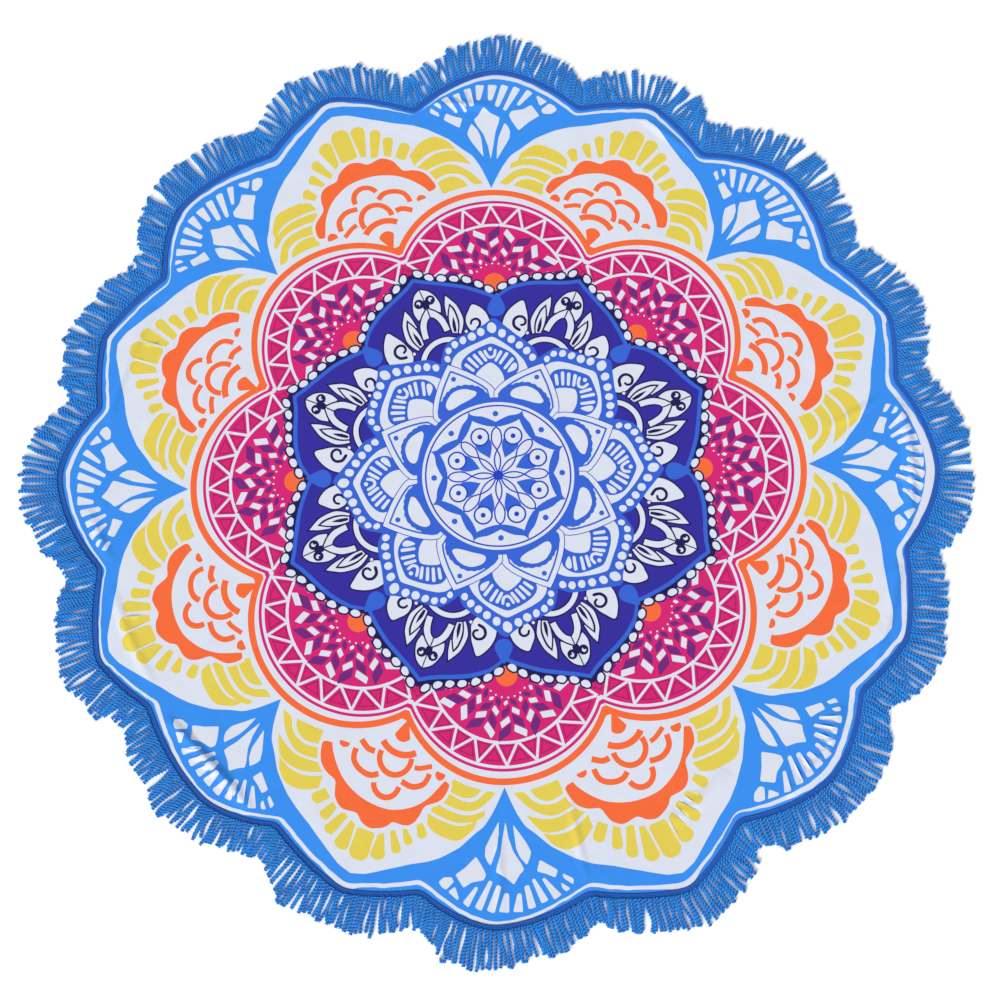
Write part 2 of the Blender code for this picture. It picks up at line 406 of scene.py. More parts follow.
class Dye(Enum):
    """The print's colours, as they look on the cloth in sRGB."""

    WHITE = (225, 230, 243)
    BORDER_BLUE = (56, 146, 244)
    YELLOW = (233, 211, 84)
    ORANGE = (253, 110, 58)
    MAGENTA = (218, 34, 118)
    PURPLE = (115, 38, 125)
    INSET = (160, 28, 100)
    NAVY = (52, 44, 160)
    NIGHT = (26, 20, 84)
    ROYAL = (54, 102, 216)
    DEEP_ROYAL = (32, 66, 196)


def linear(colour: tuple[int, int, int]) -> tuple[float, float, float]:
    """An sRGB colour of 0 to 255 as linear light."""
    share = np.array(colour) / 255.0
    light = np.where(share <= 0.04045, share / 12.92, ((share + 0.055) / 1.055) ** 2.4)
    return tuple(float(x) for x in light)


class Axis(Enum):
    """The directions that a motif of the print is repeated in."""

    SHELL = 0.0
    PETAL = SECTOR_DEG / 2.0


PLY_SHADE_MIX = "ply"  # the attribute that the yarn's finish reads: 0 gives painted shade where its plies meet, 1 a painted highlight on their crests
SOCKET_TYPES = {float: "NodeSocketFloat", int: "NodeSocketInt", tuple: "NodeSocketColor"}


class NodeSheet:
    """A node tree that nodes are added to."""

    def __init__(self, tree: bpy.types.NodeTree) -> None:
        """Keeps the tree."""
        self.tree = tree

    def give(self, target: Socket, value: object) -> None:
        """Links an input to a socket, or sets its value.

        Args:
            target: the input.
            value: the socket that feeds it, or its value.
        """
        if isinstance(value, Socket):
            self.tree.links.new(value, target)
        else:
            target.default_value = value

    def feed(self, node: bpy.types.Node, inputs: dict[str | int, object]) -> None:
        """Gives a node's inputs what feeds them, by their names or numbers."""
        for key, value in inputs.items():
            self.give(node.inputs[key], value)

    def add(self, kind: str, inputs: dict[str | int, object] | None = None,
            **settings: object) -> bpy.types.Node:
        """Adds a node.

        Args:
            kind: its type.
            inputs: what feeds its inputs, by their names or numbers.
            settings: its properties.

        Returns:
            The node.
        """
        made = self.tree.nodes.new(kind)
        for name, value in settings.items():
            setattr(made, name, value)
        self.feed(made, inputs or {})
        return made

    def math(self, operation: str, first: object, second: object = 0.0) -> Socket:
        """Works out something from sockets or numbers, in shaders and Geometry Nodes alike."""
        return self.add("ShaderNodeMath", {0: first, 1: second}, operation=operation).outputs[0]

    def sine(self, value: Socket, rate: Socket) -> Socket:
        """The sine of a value times a rate."""
        return self.math("SINE", self.math("MULTIPLY", value, rate))

    def noise(self, place: Socket, scale: float, detail: float) -> Socket:
        """A soft noise over a place, from 0 to 1."""
        return self.add("ShaderNodeTexNoise",
                        {"Vector": place, "Scale": scale, "Detail": detail}).outputs["Fac"]

    def shaded(self, colour: Socket, level: Socket) -> Socket:
        """A colour times a level."""
        return self.add("ShaderNodeVectorMath", {0: colour, "Scale": level}, operation="SCALE").outputs[0]

    def stretched(self, geometry: Socket, x: object, y: object, z: object) -> Socket:
        """A geometry stretched along its three axes."""
        size = self.add("ShaderNodeCombineXYZ", {"X": x, "Y": y, "Z": z}).outputs[0]
        return self.add("GeometryNodeTransform", {"Geometry": geometry, "Scale": size}).outputs[0]

    def smooth(self, geometry: Socket) -> Socket:
        """A geometry with smooth shading."""
        return self.add("GeometryNodeSetShadeSmooth", {"Geometry": geometry}).outputs[0]

    def marked(self, geometry: Socket, ply: object) -> Socket:
        """Stores the attribute that the yarn's finish reads, from painted shade at 0 to painted highlight
        at 1.

        Args:
            geometry: what is marked.
            ply: its value, or a socket that gives one for each point.

        Returns:
            The marked geometry.
        """
        node = self.add("GeometryNodeStoreNamedAttribute", {"Geometry": geometry, "Name": PLY_SHADE_MIX},
                        data_type="FLOAT", domain="POINT")
        self.give(next(x for x in node.inputs if x.name == "Value" and x.type == "VALUE"), ply)
        return node.outputs[0]

    def end(self, geometry: Socket, finish: Socket) -> None:
        """Ends a Geometry Nodes tree with a plain mesh in one finish.

        Args:
            geometry: what the tree made.
            finish: its material.
        """
        real = self.add("GeometryNodeRealizeInstances", {0: geometry})
        dressed = self.add("GeometryNodeSetMaterial", {0: real.outputs[0], "Material": finish})
        self.add("NodeGroupOutput", {0: dressed.outputs[0]})

    def cover(self, shader: bpy.types.Node, colour: Socket, height: Socket,
              strength: float, distance: float) -> None:
        """Gives a shader its colour, and bumps that show this strongly and are this high in metres."""
        bump = self.add("ShaderNodeBump", {"Height": height, "Strength": strength, "Distance": distance})
        self.feed(shader, {"Base Color": colour, "Normal": bump.outputs["Normal"]})


def node_group(name: str, kind: str, inputs: dict[str, object], outputs: dict[str, str]) -> NodeSheet:
    """Starts a node group.

    Args:
        name: its name.
        kind: ShaderNodeTree or GeometryNodeTree.
        inputs: each input's name and default, or its type where it has no default.
        outputs: each output's name and type.

    Returns:
        The sheet that its nodes are added to.
    """
    tree = bpy.data.node_groups.new(name, kind)
    for label, value in inputs.items():
        socket_type = value if isinstance(value, str) else SOCKET_TYPES[type(value)]
        made = tree.interface.new_socket(name=label, in_out="INPUT", socket_type=socket_type)
        if not isinstance(value, str):
            made.default_value = value
    for label, socket_type in outputs.items():
        tree.interface.new_socket(name=label, in_out="OUTPUT", socket_type=socket_type)
    return NodeSheet(tree)


def new_finish(name: str, **sockets: object) -> tuple[bpy.types.Material, NodeSheet, bpy.types.Node]:
    """Starts a material.

    Args:
        name: its name.
        sockets: values of the shader's own sockets, with _ for the spaces in their names.

    Returns:
        The material, the sheet that its nodes are added to, and its shader.
    """
    made = bpy.data.materials.new(name)
    made.use_nodes = True
    shader = made.node_tree.nodes["Principled BSDF"]
    sheet = NodeSheet(made.node_tree)
    sheet.feed(shader, {label.replace("_", " "): value for label, value in sockets.items()})
    return made, sheet, shader


@dataclass(frozen=True)
class WeaveEffect:
    """A plain weave with slubs, uneven dye and soft creases, shared by every printed finish."""

    name: str = "plain_weave"
    slubs: Pair = (420.0, 2.0)  # each noise has its scale and its detail
    slub_shade: float = 0.6
    slub_height: float = 0.8
    patches: Pair = (26.0, 3.0)
    creases: Pair = (19.0, 4.0)
    side_by_side: float = 0.25  # how much the threads show that lie beside one another
    over_under: float = 0.5  # and how much their passing over and under one another

    def group(self) -> bpy.types.NodeTree:
        """The shader group, built once.

        Returns:
            A group with named inputs, and outputs for colour and for the height of the threads.
        """
        if self.name in bpy.data.node_groups:
            return bpy.data.node_groups[self.name]
        inputs = {"Dye": (0.8, 0.8, 0.8, 1.0), "Thread Pitch": 0.0011, "Dye Unevenness": 0.06,
                  "Thread Shade": 0.08, "Crumple": 20.0}
        outputs = {"Colour": "NodeSocketColor", "Height": "NodeSocketFloat"}
        s = node_group(self.name, "ShaderNodeTree", inputs, outputs)
        given = s.add("NodeGroupInput").outputs
        place = s.add("ShaderNodeTexCoord").outputs["Object"]
        x, y, _ = s.add("ShaderNodeSeparateXYZ", {0: place}).outputs

        rate = s.math("DIVIDE", 2.0 * math.pi, given["Thread Pitch"])
        half_rate = s.math("MULTIPLY", rate, 0.5)
        beside = s.math("ADD", s.sine(x, rate), s.sine(y, rate))
        over = s.math("MULTIPLY", s.sine(x, half_rate), s.sine(y, half_rate))
        threads = s.math("ADD", s.math("MULTIPLY", beside, self.side_by_side),
                         s.math("MULTIPLY", over, self.over_under))

        slubs = s.noise(place, *self.slubs)
        patches = s.math("SUBTRACT", s.noise(place, *self.patches), 0.5)
        creases = s.noise(place, *self.creases)
        fine = s.math("MULTIPLY", s.math("SUBTRACT", slubs, 0.5), self.slub_shade)
        uneven = s.math("MULTIPLY", s.math("ADD", fine, patches), given["Dye Unevenness"])
        shade = s.math("MULTIPLY", threads, given["Thread Shade"])
        level = s.math("ADD", 1.0, s.math("ADD", uneven, shade))
        height = s.math("ADD", threads, s.math("MULTIPLY", slubs, self.slub_height))
        height = s.math("ADD", height, s.math("MULTIPLY", creases, given["Crumple"]))
        s.add("NodeGroupOutput", {"Colour": s.shaded(given["Dye"], level), "Height": height})
        return s.tree


@dataclass(frozen=True)
class PrintedFinish:
    """Printed or plain cotton weave in one dye."""

    dye: Dye
    thread_pitch: float = 0.0011
    dye_unevenness: float = 0.07
    thread_shade: float = 0.07
    crumple: float = 22.0  # how much higher its soft creases are than its threads
    bump_strength: float = 0.6
    bump_height: float = 0.00012
    roughness: float = 0.88
    sheen: float = 0.12
    gloss: float = 0.2

    def material(self) -> bpy.types.Material:
        """The finish as a material, with its own values in the shared weave.

        Returns:
            The material.
        """
        made, s, shader = new_finish(f"cloth_{self.dye.name.lower()}", Roughness=self.roughness,
                                     Sheen_Weight=self.sheen, Specular_IOR_Level=self.gloss)
        weave = s.add("ShaderNodeGroup", {
            "Dye": (*linear(self.dye.value), 1.0), "Thread Pitch": self.thread_pitch,
            "Dye Unevenness": self.dye_unevenness, "Thread Shade": self.thread_shade,
            "Crumple": self.crumple,
        }, node_tree=WeaveEffect().group()).outputs
        s.cover(shader, weave["Colour"], weave["Height"], self.bump_strength, self.bump_height)
        return made


@dataclass(frozen=True)
class YarnFinish:
    """Dyed yarn, with painted shade in the grooves between its plies and a painted highlight on their
    crests.
    """

    name: str
    # the dye with a painted highlight where the plies stand out, and the dye with painted shade where they
    # meet
    ridge_highlight: tuple[int, int, int]
    groove_shade: tuple[int, int, int]
    unevenness: float = 0.16
    fibre_scale: float = 900.0
    patch_scale: float = 60.0
    detail: float = 2.0
    bump_strength: float = 0.5
    bump_height: float = 0.0002
    roughness: float = 0.8
    sheen: float = 0.25
    gloss: float = 0.25

    def material(self) -> bpy.types.Material:
        """The finish as a material, with a painted highlight on the yarn's crests and painted shade in its
        grooves.

        Returns:
            The material.
        """
        made, s, shader = new_finish(self.name, Roughness=self.roughness, Sheen_Weight=self.sheen,
                                     Specular_IOR_Level=self.gloss)
        place = s.add("ShaderNodeTexCoord").outputs["Object"]
        fibres = s.noise(place, self.fibre_scale, self.detail)
        patches = s.noise(place, self.patch_scale, self.detail)
        mix = s.add("ShaderNodeMix", data_type="RGBA")
        s.feed(mix, {
            "Factor": s.add("ShaderNodeAttribute", attribute_name=PLY_SHADE_MIX).outputs["Fac"],
            "A": (*linear(self.groove_shade), 1.0), "B": (*linear(self.ridge_highlight), 1.0),
        })
        spread = s.math("SUBTRACT", s.math("ADD", fibres, patches), 1.0)
        level = s.math("ADD", 1.0, s.math("MULTIPLY", spread, self.unevenness * 2.0))
        colour = next(x for x in mix.outputs if x.type == "RGBA")
        s.cover(shader, s.shaded(colour, level), fibres, self.bump_strength, self.bump_height)
        return made


# ---------------------------------------------------------------- how the cloth lies

CREST_POINTS = 81  # along each fold
FOLD_END_BLUNTNESS = 0.6  # less is blunter


def fold_line(fold: Fold, count: int) -> Points:
    """Count points along the crest of a fold.

    Args:
        fold: the fold.
        count: how many points.

    Returns:
        The points, from its start to its end.
    """
    share = np.linspace(0.0, 1.0, count)
    degrees = fold.start_deg + (fold.end_deg - fold.start_deg) * share
    straight = fold.start_reach + (fold.end_reach - fold.start_reach) * share
    return polar(degrees, straight + fold.bow * 4.0 * share * (1.0 - share))


def fold_height(points: Points) -> np.ndarray:
    """How high the cloth's folds lift it.

    Args:
        points: places on the cloth.

    Returns:
        The lift at each of them, in metres.
    """
    total = np.zeros(len(points))
    for fold in FOLDS:
        crest = fold_line(fold, CREST_POINTS)
        away = np.abs(points - crest.mean(axis=0))
        near = np.flatnonzero((away < np.ptp(crest, axis=0) / 2 + 3 * fold.half_width).all(axis=1))
        gaps = norm(points[near, None] - crest[None], axis=2)
        across = gaps.min(axis=1) / fold.half_width
        share = gaps.argmin(axis=1) / (len(crest) - 1)
        taper = np.sin(np.pi * share) ** FOLD_END_BLUNTNESS
        bump = np.where(across < 1.0, np.cos(np.pi / 2 * np.minimum(across, 1.0)) ** 2, 0.0)
        total[near] = np.maximum(total[near], fold.height * taper * bump)
    return total * rim_fade(points)


def rim_fade(points: Points) -> np.ndarray:
    """0 at the cloth's edge, rising to 1 where folds are at their full height."""
    inside = edge_reach(np.degrees(np.arctan2(points[:, 1], points[:, 0]))) - norm(points, axis=1)
    fade = np.clip(inside / RIM_FLAT, 0.0, 1.0)
    return fade * fade * (3.0 - 2.0 * fade)


@dataclass(frozen=True)
class Ripples:
    """The slight waviness of cloth that was folded and then spread out."""

    height: float = 0.0007
    bend: float = 1.6  # how far the waves' crests wander, in radians
    bend_rates: Pair = (5.0, 7.0)
    waves: tuple[tuple[float, float, float], ...] = (
        (17.0, 6.0, 0.4), (-9.0, 21.0, 1.9), (24.0, -19.0, 3.1), (-33.0, -12.0, 5.2), (11.0, 37.0, 2.4),
    )  # radians per metre along x and y, and the phase

    def height_at(self, points: Points) -> np.ndarray:
        """How high the ripples lift the cloth, never below zero.

        Args:
            points: places on the cloth.

        Returns:
            The lift at each of them, in metres.
        """
        x, y = points.T
        total = np.zeros(len(points))
        for x_rate, y_rate, phase in self.waves:
            bend = self.bend * np.sin(x * self.bend_rates[0] + phase)
            bend = bend + self.bend * np.sin(y * self.bend_rates[1] + 2.0 * phase)
            total += np.sin(x * x_rate + y * y_rate + bend + phase)
        return self.height * (total / len(self.waves) + 1.0) / 2.0 * rim_fade(points)


class SectorLay(NamedTuple):
    """How one sector of the print lies: its turns in degrees from even, and its shifts outwards in mm."""

    wedge_turn: float  # the border's wedge between two petals, on the shell's axis
    wedge_shift: float
    cusp_turn: float  # the cusp of the bead line, on the petal's axis
    cusp_shift: float
    cloud_turn: float  # the top of the orange cloud, on the petal's axis
    cloud_shift: float
    tip_turn: float  # the petal's tip, on its axis
    tip_shift: float
    rim_turns: tuple[float, float, float, float]  # shell tip, valley after it, petal tip, valley after it
    rim_margins: tuple[float, float, float, float]  # heading to wave line at the same places, mm
    rim_widths: tuple[float, float, float, float]  # the wave line's own width there, mm


SECTOR_LAYS = (
    SectorLay(2.5, 0, 1.5, 2, 1.7, -2, 1.5, -2,
              (1.9, 2.6, 0.7, 1.5), (0.3, 8.5, 3, 8.5), (16, 8.2, 8.7, 8.2)),
    SectorLay(2.1, 2, 1, 1.5, 1.5, -8, 0.8, -7,
              (1.7, 2, 0.7, 0.6), (6.5, 6.5, 0.3, 7), (8.2, 7.2, 9.2, 8.2)),
    SectorLay(1.6, -2, 0.5, 5.5, 2.1, 4, 1.8, 11,
              (0.8, 1.2, 1.5, 1.8), (1.5, 5.5, 0.5, 10), (7.7, 6.2, 8.7, 8.2)),
    SectorLay(1.8, 3, 0.4, 3, 2.3, -6, 2.7, -9,
              (2.4, 1.9, 2.6, 2.3), (4, 8, 3, 9), (5.7, 6.2, 8.2, 6.2)),
    SectorLay(2.3, 2, 0.4, 1.5, 2.2, 7, 2.2, 5,
              (1.3, 1.8, 2.8, 1.2), (7, 5, 2, 7.5), (6.2, 5.7, 7.2, 6.7)),
    SectorLay(1.3, -2, 1.3, -6, 2.3, 3, 2.4, -5,
              (2, 1.4, 2.3, 1.8), (1, 8, 0.3, 9.5), (5.7, 6.7, 9.2, 6.7)),
    SectorLay(0.9, -2, 1.4, -5, 1.2, 5, 1.7, 14,
              (0.4, 0.2, 1.6, 1.4), (1, 8.5, 0.3, 10), (5.7, 6.7, 10.2, 9.7)),
    SectorLay(2.3, -2, 2.3, -2, 1.6, 1, 0.9, -6,
              (1.8, 2, 0.4, 2), (4, 8, 0.3, 4.5), (9.7, 7.2, 8.2, 9.2)),
)

PETAL_TIP_SPREAD_DEG = 3.2  # the petals' tips stand out of the wave line over this much each way
PETAL_FLANK_SHARE = 0.2  # how much of the tip's own value is left there


def eased(degrees: np.ndarray, at: np.ndarray, values: np.ndarray) -> np.ndarray:
    """Values between knots round a circle, easing in and out of each knot.

    Args:
        degrees: the directions asked for.
        at: the knots' directions, in order.
        values: their values.

    Returns:
        The value in each direction.
    """
    lapped_at = np.append(at, at[0] + 360.0)
    lapped = np.append(values, values[0])
    turn = (degrees - at[0]) % 360.0 + at[0]
    index = np.clip(np.searchsorted(lapped_at, turn, side="right") - 1, 0, len(at) - 1)
    share = (turn - lapped_at[index]) / (lapped_at[index + 1] - lapped_at[index])
    share = share * share * (3.0 - 2.0 * share)
    return lapped[index] * (1.0 - share) + lapped[index + 1] * share


def rim_value(degrees: np.ndarray, name: str) -> np.ndarray:
    """A value of the sectors' rims in each direction.

    Args:
        degrees: the directions asked for.
        name: one of the four-valued fields of the sectors' lays.

    Returns:
        The value in each direction, with the petals' tips standing out of their flanks.
    """
    keep = PETAL_FLANK_SHARE
    places = (0.0, WAVE_VALLEY_AFTER_SHELL_DEG, PETAL_AXIS_DEG - PETAL_TIP_SPREAD_DEG, PETAL_AXIS_DEG,
              PETAL_AXIS_DEG + PETAL_TIP_SPREAD_DEG, PETAL_AXIS_DEG + WAVE_VALLEY_AFTER_PETAL_DEG)
    at = [k * SECTOR_DEG + place for k in range(SECTORS) for place in places]
    values = []
    for row in SECTOR_LAYS:
        shell, valley, petal, after = getattr(row, name)
        before_tip = keep * petal + (1.0 - keep) * valley
        after_tip = keep * petal + (1.0 - keep) * after
        values += [shell, valley, before_tip, petal, after_tip, after]
    return eased(degrees, np.array(at), np.array(values))


def sector_moves(name: str) -> np.ndarray:
    """Every sector's turn, and below it every sector's shift, of one kind of place in the print."""
    return np.array([[getattr(row, f"{name}_{move}") for row in SECTOR_LAYS] for move in ("turn", "shift")])


def moves_round(way: np.ndarray, on_shell: np.ndarray, on_petal: np.ndarray) -> np.ndarray:
    """A row of turns and a row of shifts in each direction, from those on the two kinds of axis."""
    at = np.arange(2 * SECTORS) * SECTOR_DEG / 2.0
    return np.stack([eased(way, at, np.stack(pair, axis=-1).ravel()) for pair in zip(on_shell, on_petal)])


@dataclass(frozen=True)
class Lay:
    """Where each point of the evenly drawn print lies on the real cloth."""

    medallion_turn: float = 2.5
    medallion_reach: float = 118.0  # mm, the medallion is even within this
    inner_petal_turn: float = 1.9
    inner_petal_reach: float = 150.0
    middle_shift: Pair = (-2.2, 2.7)  # mm along x and y, up to the inner petals
    shift_from: float = 130.0  # mm, where that shift starts to fade out
    shift_to: float = 320.0
    wobbles: tuple[tuple[float, float, float], ...] = ((0.8, 139.0, 0.7), (0.6, 193.0, 2.1),
                                                       (0.7, 67.0, 4.0))
    cusp_reach: float = 311.0
    wedge_reach: float = 488.0
    cloud_share: float = 0.469  # shares of the way from the wedge to the wave line
    tip_share: float = 0.881

    def place(self, points: Points) -> Points:
        """Lays points of the print on the cloth.

        Args:
            points: points of the even print, in mm.

        Returns:
            The same points on the cloth, in metres from the lobes' middle.
        """
        reach = norm(points, axis=1)
        way = np.degrees(np.arctan2(points[:, 1], points[:, 0]))
        wave = lobed_reach(way, EVEN_LOBES) / MM
        rim_turn = rim_value(way, "rim_turns")
        rim = edge_reach(way + rim_turn) / MM - rim_value(way, "rim_margins")
        for amount, waves, phase in self.wobbles:
            rim = rim - amount * (1.0 + np.sin(np.radians(way) * waves + phase)) / 2.0
        cusp, wedge, cloud, tip = (sector_moves(name) for name in ("cusp", "wedge", "cloud", "tip"))

        shell_turn = np.array([row.rim_turns[0] for row in SECTOR_LAYS])
        shell_margin = np.array([row.rim_margins[0] for row in SECTOR_LAYS])
        shell_rim = edge_reach(np.arange(SECTORS) * SECTOR_DEG + shell_turn) / MM - shell_margin
        shell = np.stack([shell_turn, shell_rim - WAVE_SHELL_TIP / MM])
        on_cloud = wedge + (shell - wedge) * self.cloud_share
        on_tip = wedge + (shell - wedge) * self.tip_share

        span = wave - self.wedge_reach
        none = np.zeros_like(way)
        middle = np.stack([none + self.medallion_turn, none])
        stations = (
            (none, middle),
            (none + self.medallion_reach, middle),
            (none + self.inner_petal_reach, np.stack([none + self.inner_petal_turn, none])),
            (none + self.cusp_reach, moves_round(way, (cusp + np.roll(cusp, 1, axis=1)) / 2.0, cusp)),
            (none + self.wedge_reach, moves_round(way, wedge, (cusp + cloud) / 2.0)),
            (self.wedge_reach + span * self.cloud_share, moves_round(way, on_cloud, cloud)),
            (self.wedge_reach + span * self.tip_share, moves_round(way, on_tip, tip)),
            (wave, np.stack([rim_turn, rim - wave])),
        )
        moves = middle
        for (from_reach, from_moves), (to_reach, to_moves) in zip(stations, stations[1:]):
            share = np.clip((reach - from_reach) / (to_reach - from_reach), 0.0, 1.0)
            moves = np.where(reach >= from_reach, from_moves + (to_moves - from_moves) * share, moves)
        turn, shift = moves
        fade = np.clip((self.shift_to - reach) / (self.shift_to - self.shift_from), 0.0, 1.0)
        return polar(way + turn, (reach + shift) * MM) + np.outer(fade, self.middle_shift) * MM


# ---------------------------------------------------------------- the print

MOTIF_LINE = 2.4  # mm, the dark line round the motifs of the navy ring


@dataclass
class Mandala:
    """The print, drawn in mm as shapes that are laid one over another.

    Its motifs are given with u out along their axis and v anticlockwise from it.
    """

    seed: int = 5
    spin_deg: float = 0.0  # turns the motifs that are being added
    shapes: list[tuple[Dye, Points]] = field(default_factory=list)

    def __post_init__(self) -> None:
        """Starts the fixed row of chances that the beads' shapes take."""
        self.chance = np.random.default_rng(self.seed)

    def lay_one(self, dye: Dye, outline: Points) -> None:
        """Adds one shape over those before it."""
        self.shapes.append((dye, tidied(outline)))

    def add(self, dye: Dye, outline: Points, axis: Axis = Axis.SHELL, both: bool = False) -> None:
        """Adds a shape on each axis of one kind.

        Args:
            dye: its colour.
            outline: the shape.
            axis: the kind of axis.
            both: whether its mirror image on the axis's other side is added too.
        """
        outline = np.asarray(outline, float)
        for side in ((outline, flipped(outline)) if both else (outline,)):
            for k in range(SECTORS):
                self.lay_one(dye, turned(side, axis.value + self.spin_deg + k * SECTOR_DEG))

    def outlined(self, outline: Points, axis: Axis, both: bool = False, line: float = MOTIF_LINE,
                 dye: Dye = Dye.NIGHT) -> None:
        """Adds a white shape with a dark line round it."""
        self.add(dye, grown(outline, line), axis, both)
        self.add(Dye.WHITE, outline, axis, both)

    def pebble(self, centre: Points, half_long: float, half_wide: float, lean_deg: float) -> Points:
        """A slightly uneven oval bead.

        Args:
            centre: its middle.
            half_long: half its length.
            half_wide: half its width.
            lean_deg: which way it lies.

        Returns:
            Its outline.
        """
        corners = 6
        turns = (np.arange(corners) + self.chance.uniform(-0.16, 0.16, corners)) * 360.0 / corners
        reach = self.chance.uniform(1.02, 1.16, corners)
        outline = polar(turns, reach) * (half_long, half_wide)
        return np.asarray(centre) + turned(rounded(outline, 0.5 * half_wide), lean_deg)

    def draw(self) -> None:
        """Draws the whole print from its rim to its middle."""
        for part in (self.border, self.shells, self.feathers, self.fingers, self.clouds, self.scales,
                     self.scallops, self.night_ring, self.buds, self.leaves, self.paisleys,
                     self.bead_petals, self.eyes, self.inner_petals, self.medallion):
            part()

    def border(self) -> None:
        """The wave line, the blue border within it and the white petals' ground."""
        degrees = np.arange(0.0, 360.0, 0.5)
        wave = lobed_reach(degrees, EVEN_LOBES) / MM
        self.lay_one(Dye.WHITE, polar(degrees, wave))
        self.lay_one(Dye.BORDER_BLUE, polar(degrees, wave - rim_value(degrees, "rim_widths")))
        flank = [(0, 488), (1.9, 525), (3.25, 546), (4.8, 558), (7, 579), (10, 599), (12, 609), (14.7, 619),
                 (17.7, 635), (20.6, 653), (PETAL_AXIS_DEG, 659.0)]
        knots = flank + [(SECTOR_DEG - at, reach) for at, reach in flank[-2:0:-1]]
        self.lay_one(Dye.WHITE, around(knots, 0.5))

    def shells(self) -> None:
        """The shell between two petals: kites at its root and a fan of stripes."""
        kites = (
            [(539, 1.5), (563, 6.5), (583, 14), (600, 26), (609, 30.5), (616, 24), (631, 15.5), (621, 4),
             (612.5, -12), (604, -10.5), (587, -5.5), (562, -2.5)],
            [(543, 13), (556, 23), (570, 33.5), (583, 40.5), (592, 38.5), (602, 34.5), (592, 24.5),
             (578, 18)],
            [(538, -8.5), (559, -8.5), (578, -11), (603, -20), (598, -25), (589, -29.5), (576, -29),
             (560, -20.5)],
            [(594, 53), (607.5, 79), (619, 75.5), (614, 63), (611, 49)],
            [(612, 85.5), (618.5, 101), (627, 100), (618.5, 86.5)],
            [(625, 83), (633, 96.5), (638.5, 91.5), (633, 84.5)],
            [(589, -43.5), (606, -32), (616, -27), (624, -30.5), (627, -50), (635, -63), (615.5, -77),
             (605, -61)],
            [(619, -83), (626, -79), (638, -92), (634, -100), (626, -105), (619, -96)],
            [(633, -77), (649, -70.5), (653, -73), (641, -89)],
        )
        for kite in kites:
            self.add(Dye.WHITE, rounded(kite, 2.5))
        stripes = (
            ((620.5, 58), (648, 80.5), 4.5, 13.0), ((622, 43.5), (655, 61.5), 5.0, 11.5),
            ((631.5, 34), (665, 43.5), 7.5, 12.0), ((643, 24), (671, 22.5), 6.0, 15.0),
            ((643, 5), (671, 1.5), 7.0, 16.0), ((632, -6.5), (670, -19), 7.5, 13.0),
            ((625, -19), (666, -39), 6.0, 12.5), ((634, -41), (660, -60), 5.0, 12.0),
        )
        for inner, outer, inner_width, outer_width in stripes:
            self.add(Dye.WHITE, rounded(stroke([inner, outer], inner_width, outer_width), 3.0))

    def feathers(self) -> None:
        """The yellow feathers that curve away on both sides of each shell's root."""
        clockwise_side = (
            ([(474, 80), (484, 60), (490, 40)], [(492, 36), (500, 45), (503, 60), (497, 78), (488, 92)]),
            ([(490, 93), (499, 81), (508, 62), (507, 44), (494, 27), (497, 13.5)],
             [(497, 13.5), (514, 32), (522, 50), (520, 70), (510, 94), (500, 106)]),
            ([(504, 110), (515, 97), (526, 71), (528, 52), (522, 30)],
             [(530, 31), (538, 48), (538, 76), (527, 104), (518, 119)]),
            ([(521, 123), (531, 106), (542, 78), (542, 58), (535, 42)],
             [(548, 47), (562, 66), (564, 80), (559, 95), (550, 113), (537, 125)]),
        )
        anticlockwise_side = (
            ([(477, 80), (485, 60), (492, 39)], [(492, 39), (501, 45), (508, 58), (507, 72), (497, 89)]),
            ([(500, 94), (511, 77), (514, 60), (509, 44), (496, 29), (497, 13.5)],
             [(497, 13.5), (518, 36), (529, 60), (528, 80), (514, 103)]),
            ([(517, 108), (532, 80), (535, 58), (530, 33)],
             [(530, 33), (553, 56), (553, 78), (544, 98), (523, 121)]),
            ([(527, 124), (547, 104), (557, 80), (556, 58)],
             [(570, 70), (577, 84), (577, 97), (567, 115), (545, 131)]),
        )
        for feathers, side in ((clockwise_side, -1.0), (anticlockwise_side, 1.0)):
            for lower, upper in feathers:
                shape = np.concatenate([soft(lower, 4), soft(upper, 4)])
                self.add(Dye.YELLOW, shape * (1.0, side))

    def fingers(self) -> None:
        """The yellow fingers that stand round each orange cloud."""
        middle = [(583, 12), (585, 15), (626, 17), (635, 9), (635, -6), (627, -13.5), (586, -13.5),
                  (583, -10)]
        self.add(Dye.YELLOW, rounded(middle, 4.0), Axis.PETAL)
        fingers = (
            ((584, 20), (578, 28), (624, 32), 12.0), ((572, 36), (568, 43), (603, 59), 8.2),
            ((563.5, 54), (560, 60), (583, 74), 7.6), ((550, 74), (544, 82), (566, 92), 8.4),
            ((578, -26), (581, -17.5), (629, -29), 11.5), ((570, -42), (574, -31.5), (613, -55), 8.6),
            ((562, -60), (567, -51), (595, -69), 8.2), ((549, -78), (559, -66), (575, -91), 8.8),
        )
        for base_a, base_b, tip, half in fingers:
            self.add(Dye.YELLOW, self.finger(base_a, base_b, tip, half), Axis.PETAL)

    @staticmethod
    def finger(base_a: tuple, base_b: tuple, tip: tuple, half: float) -> Points:
        """A round-ended finger from its base to its tip.

        Args:
            base_a: one corner of its base.
            base_b: the other.
            tip: the middle of its end.
            half: half its width there.

        Returns:
            Its outline.
        """
        a, b, end = (np.array(p, float) for p in (base_a, base_b, tip))
        along = end - (a + b) / 2.0
        along /= norm(along)
        side = np.array([-along[1], along[0]])
        if np.dot(b - a, side) < 0.0:
            a, b = b, a
        shoulder = end - along * half * 0.8
        turns = np.linspace(0.0, np.pi, 9)[:, None]
        round_end = shoulder + half * (0.8 * np.sin(turns) * along - np.cos(turns) * side)
        return np.concatenate([a[None], round_end, b[None]])

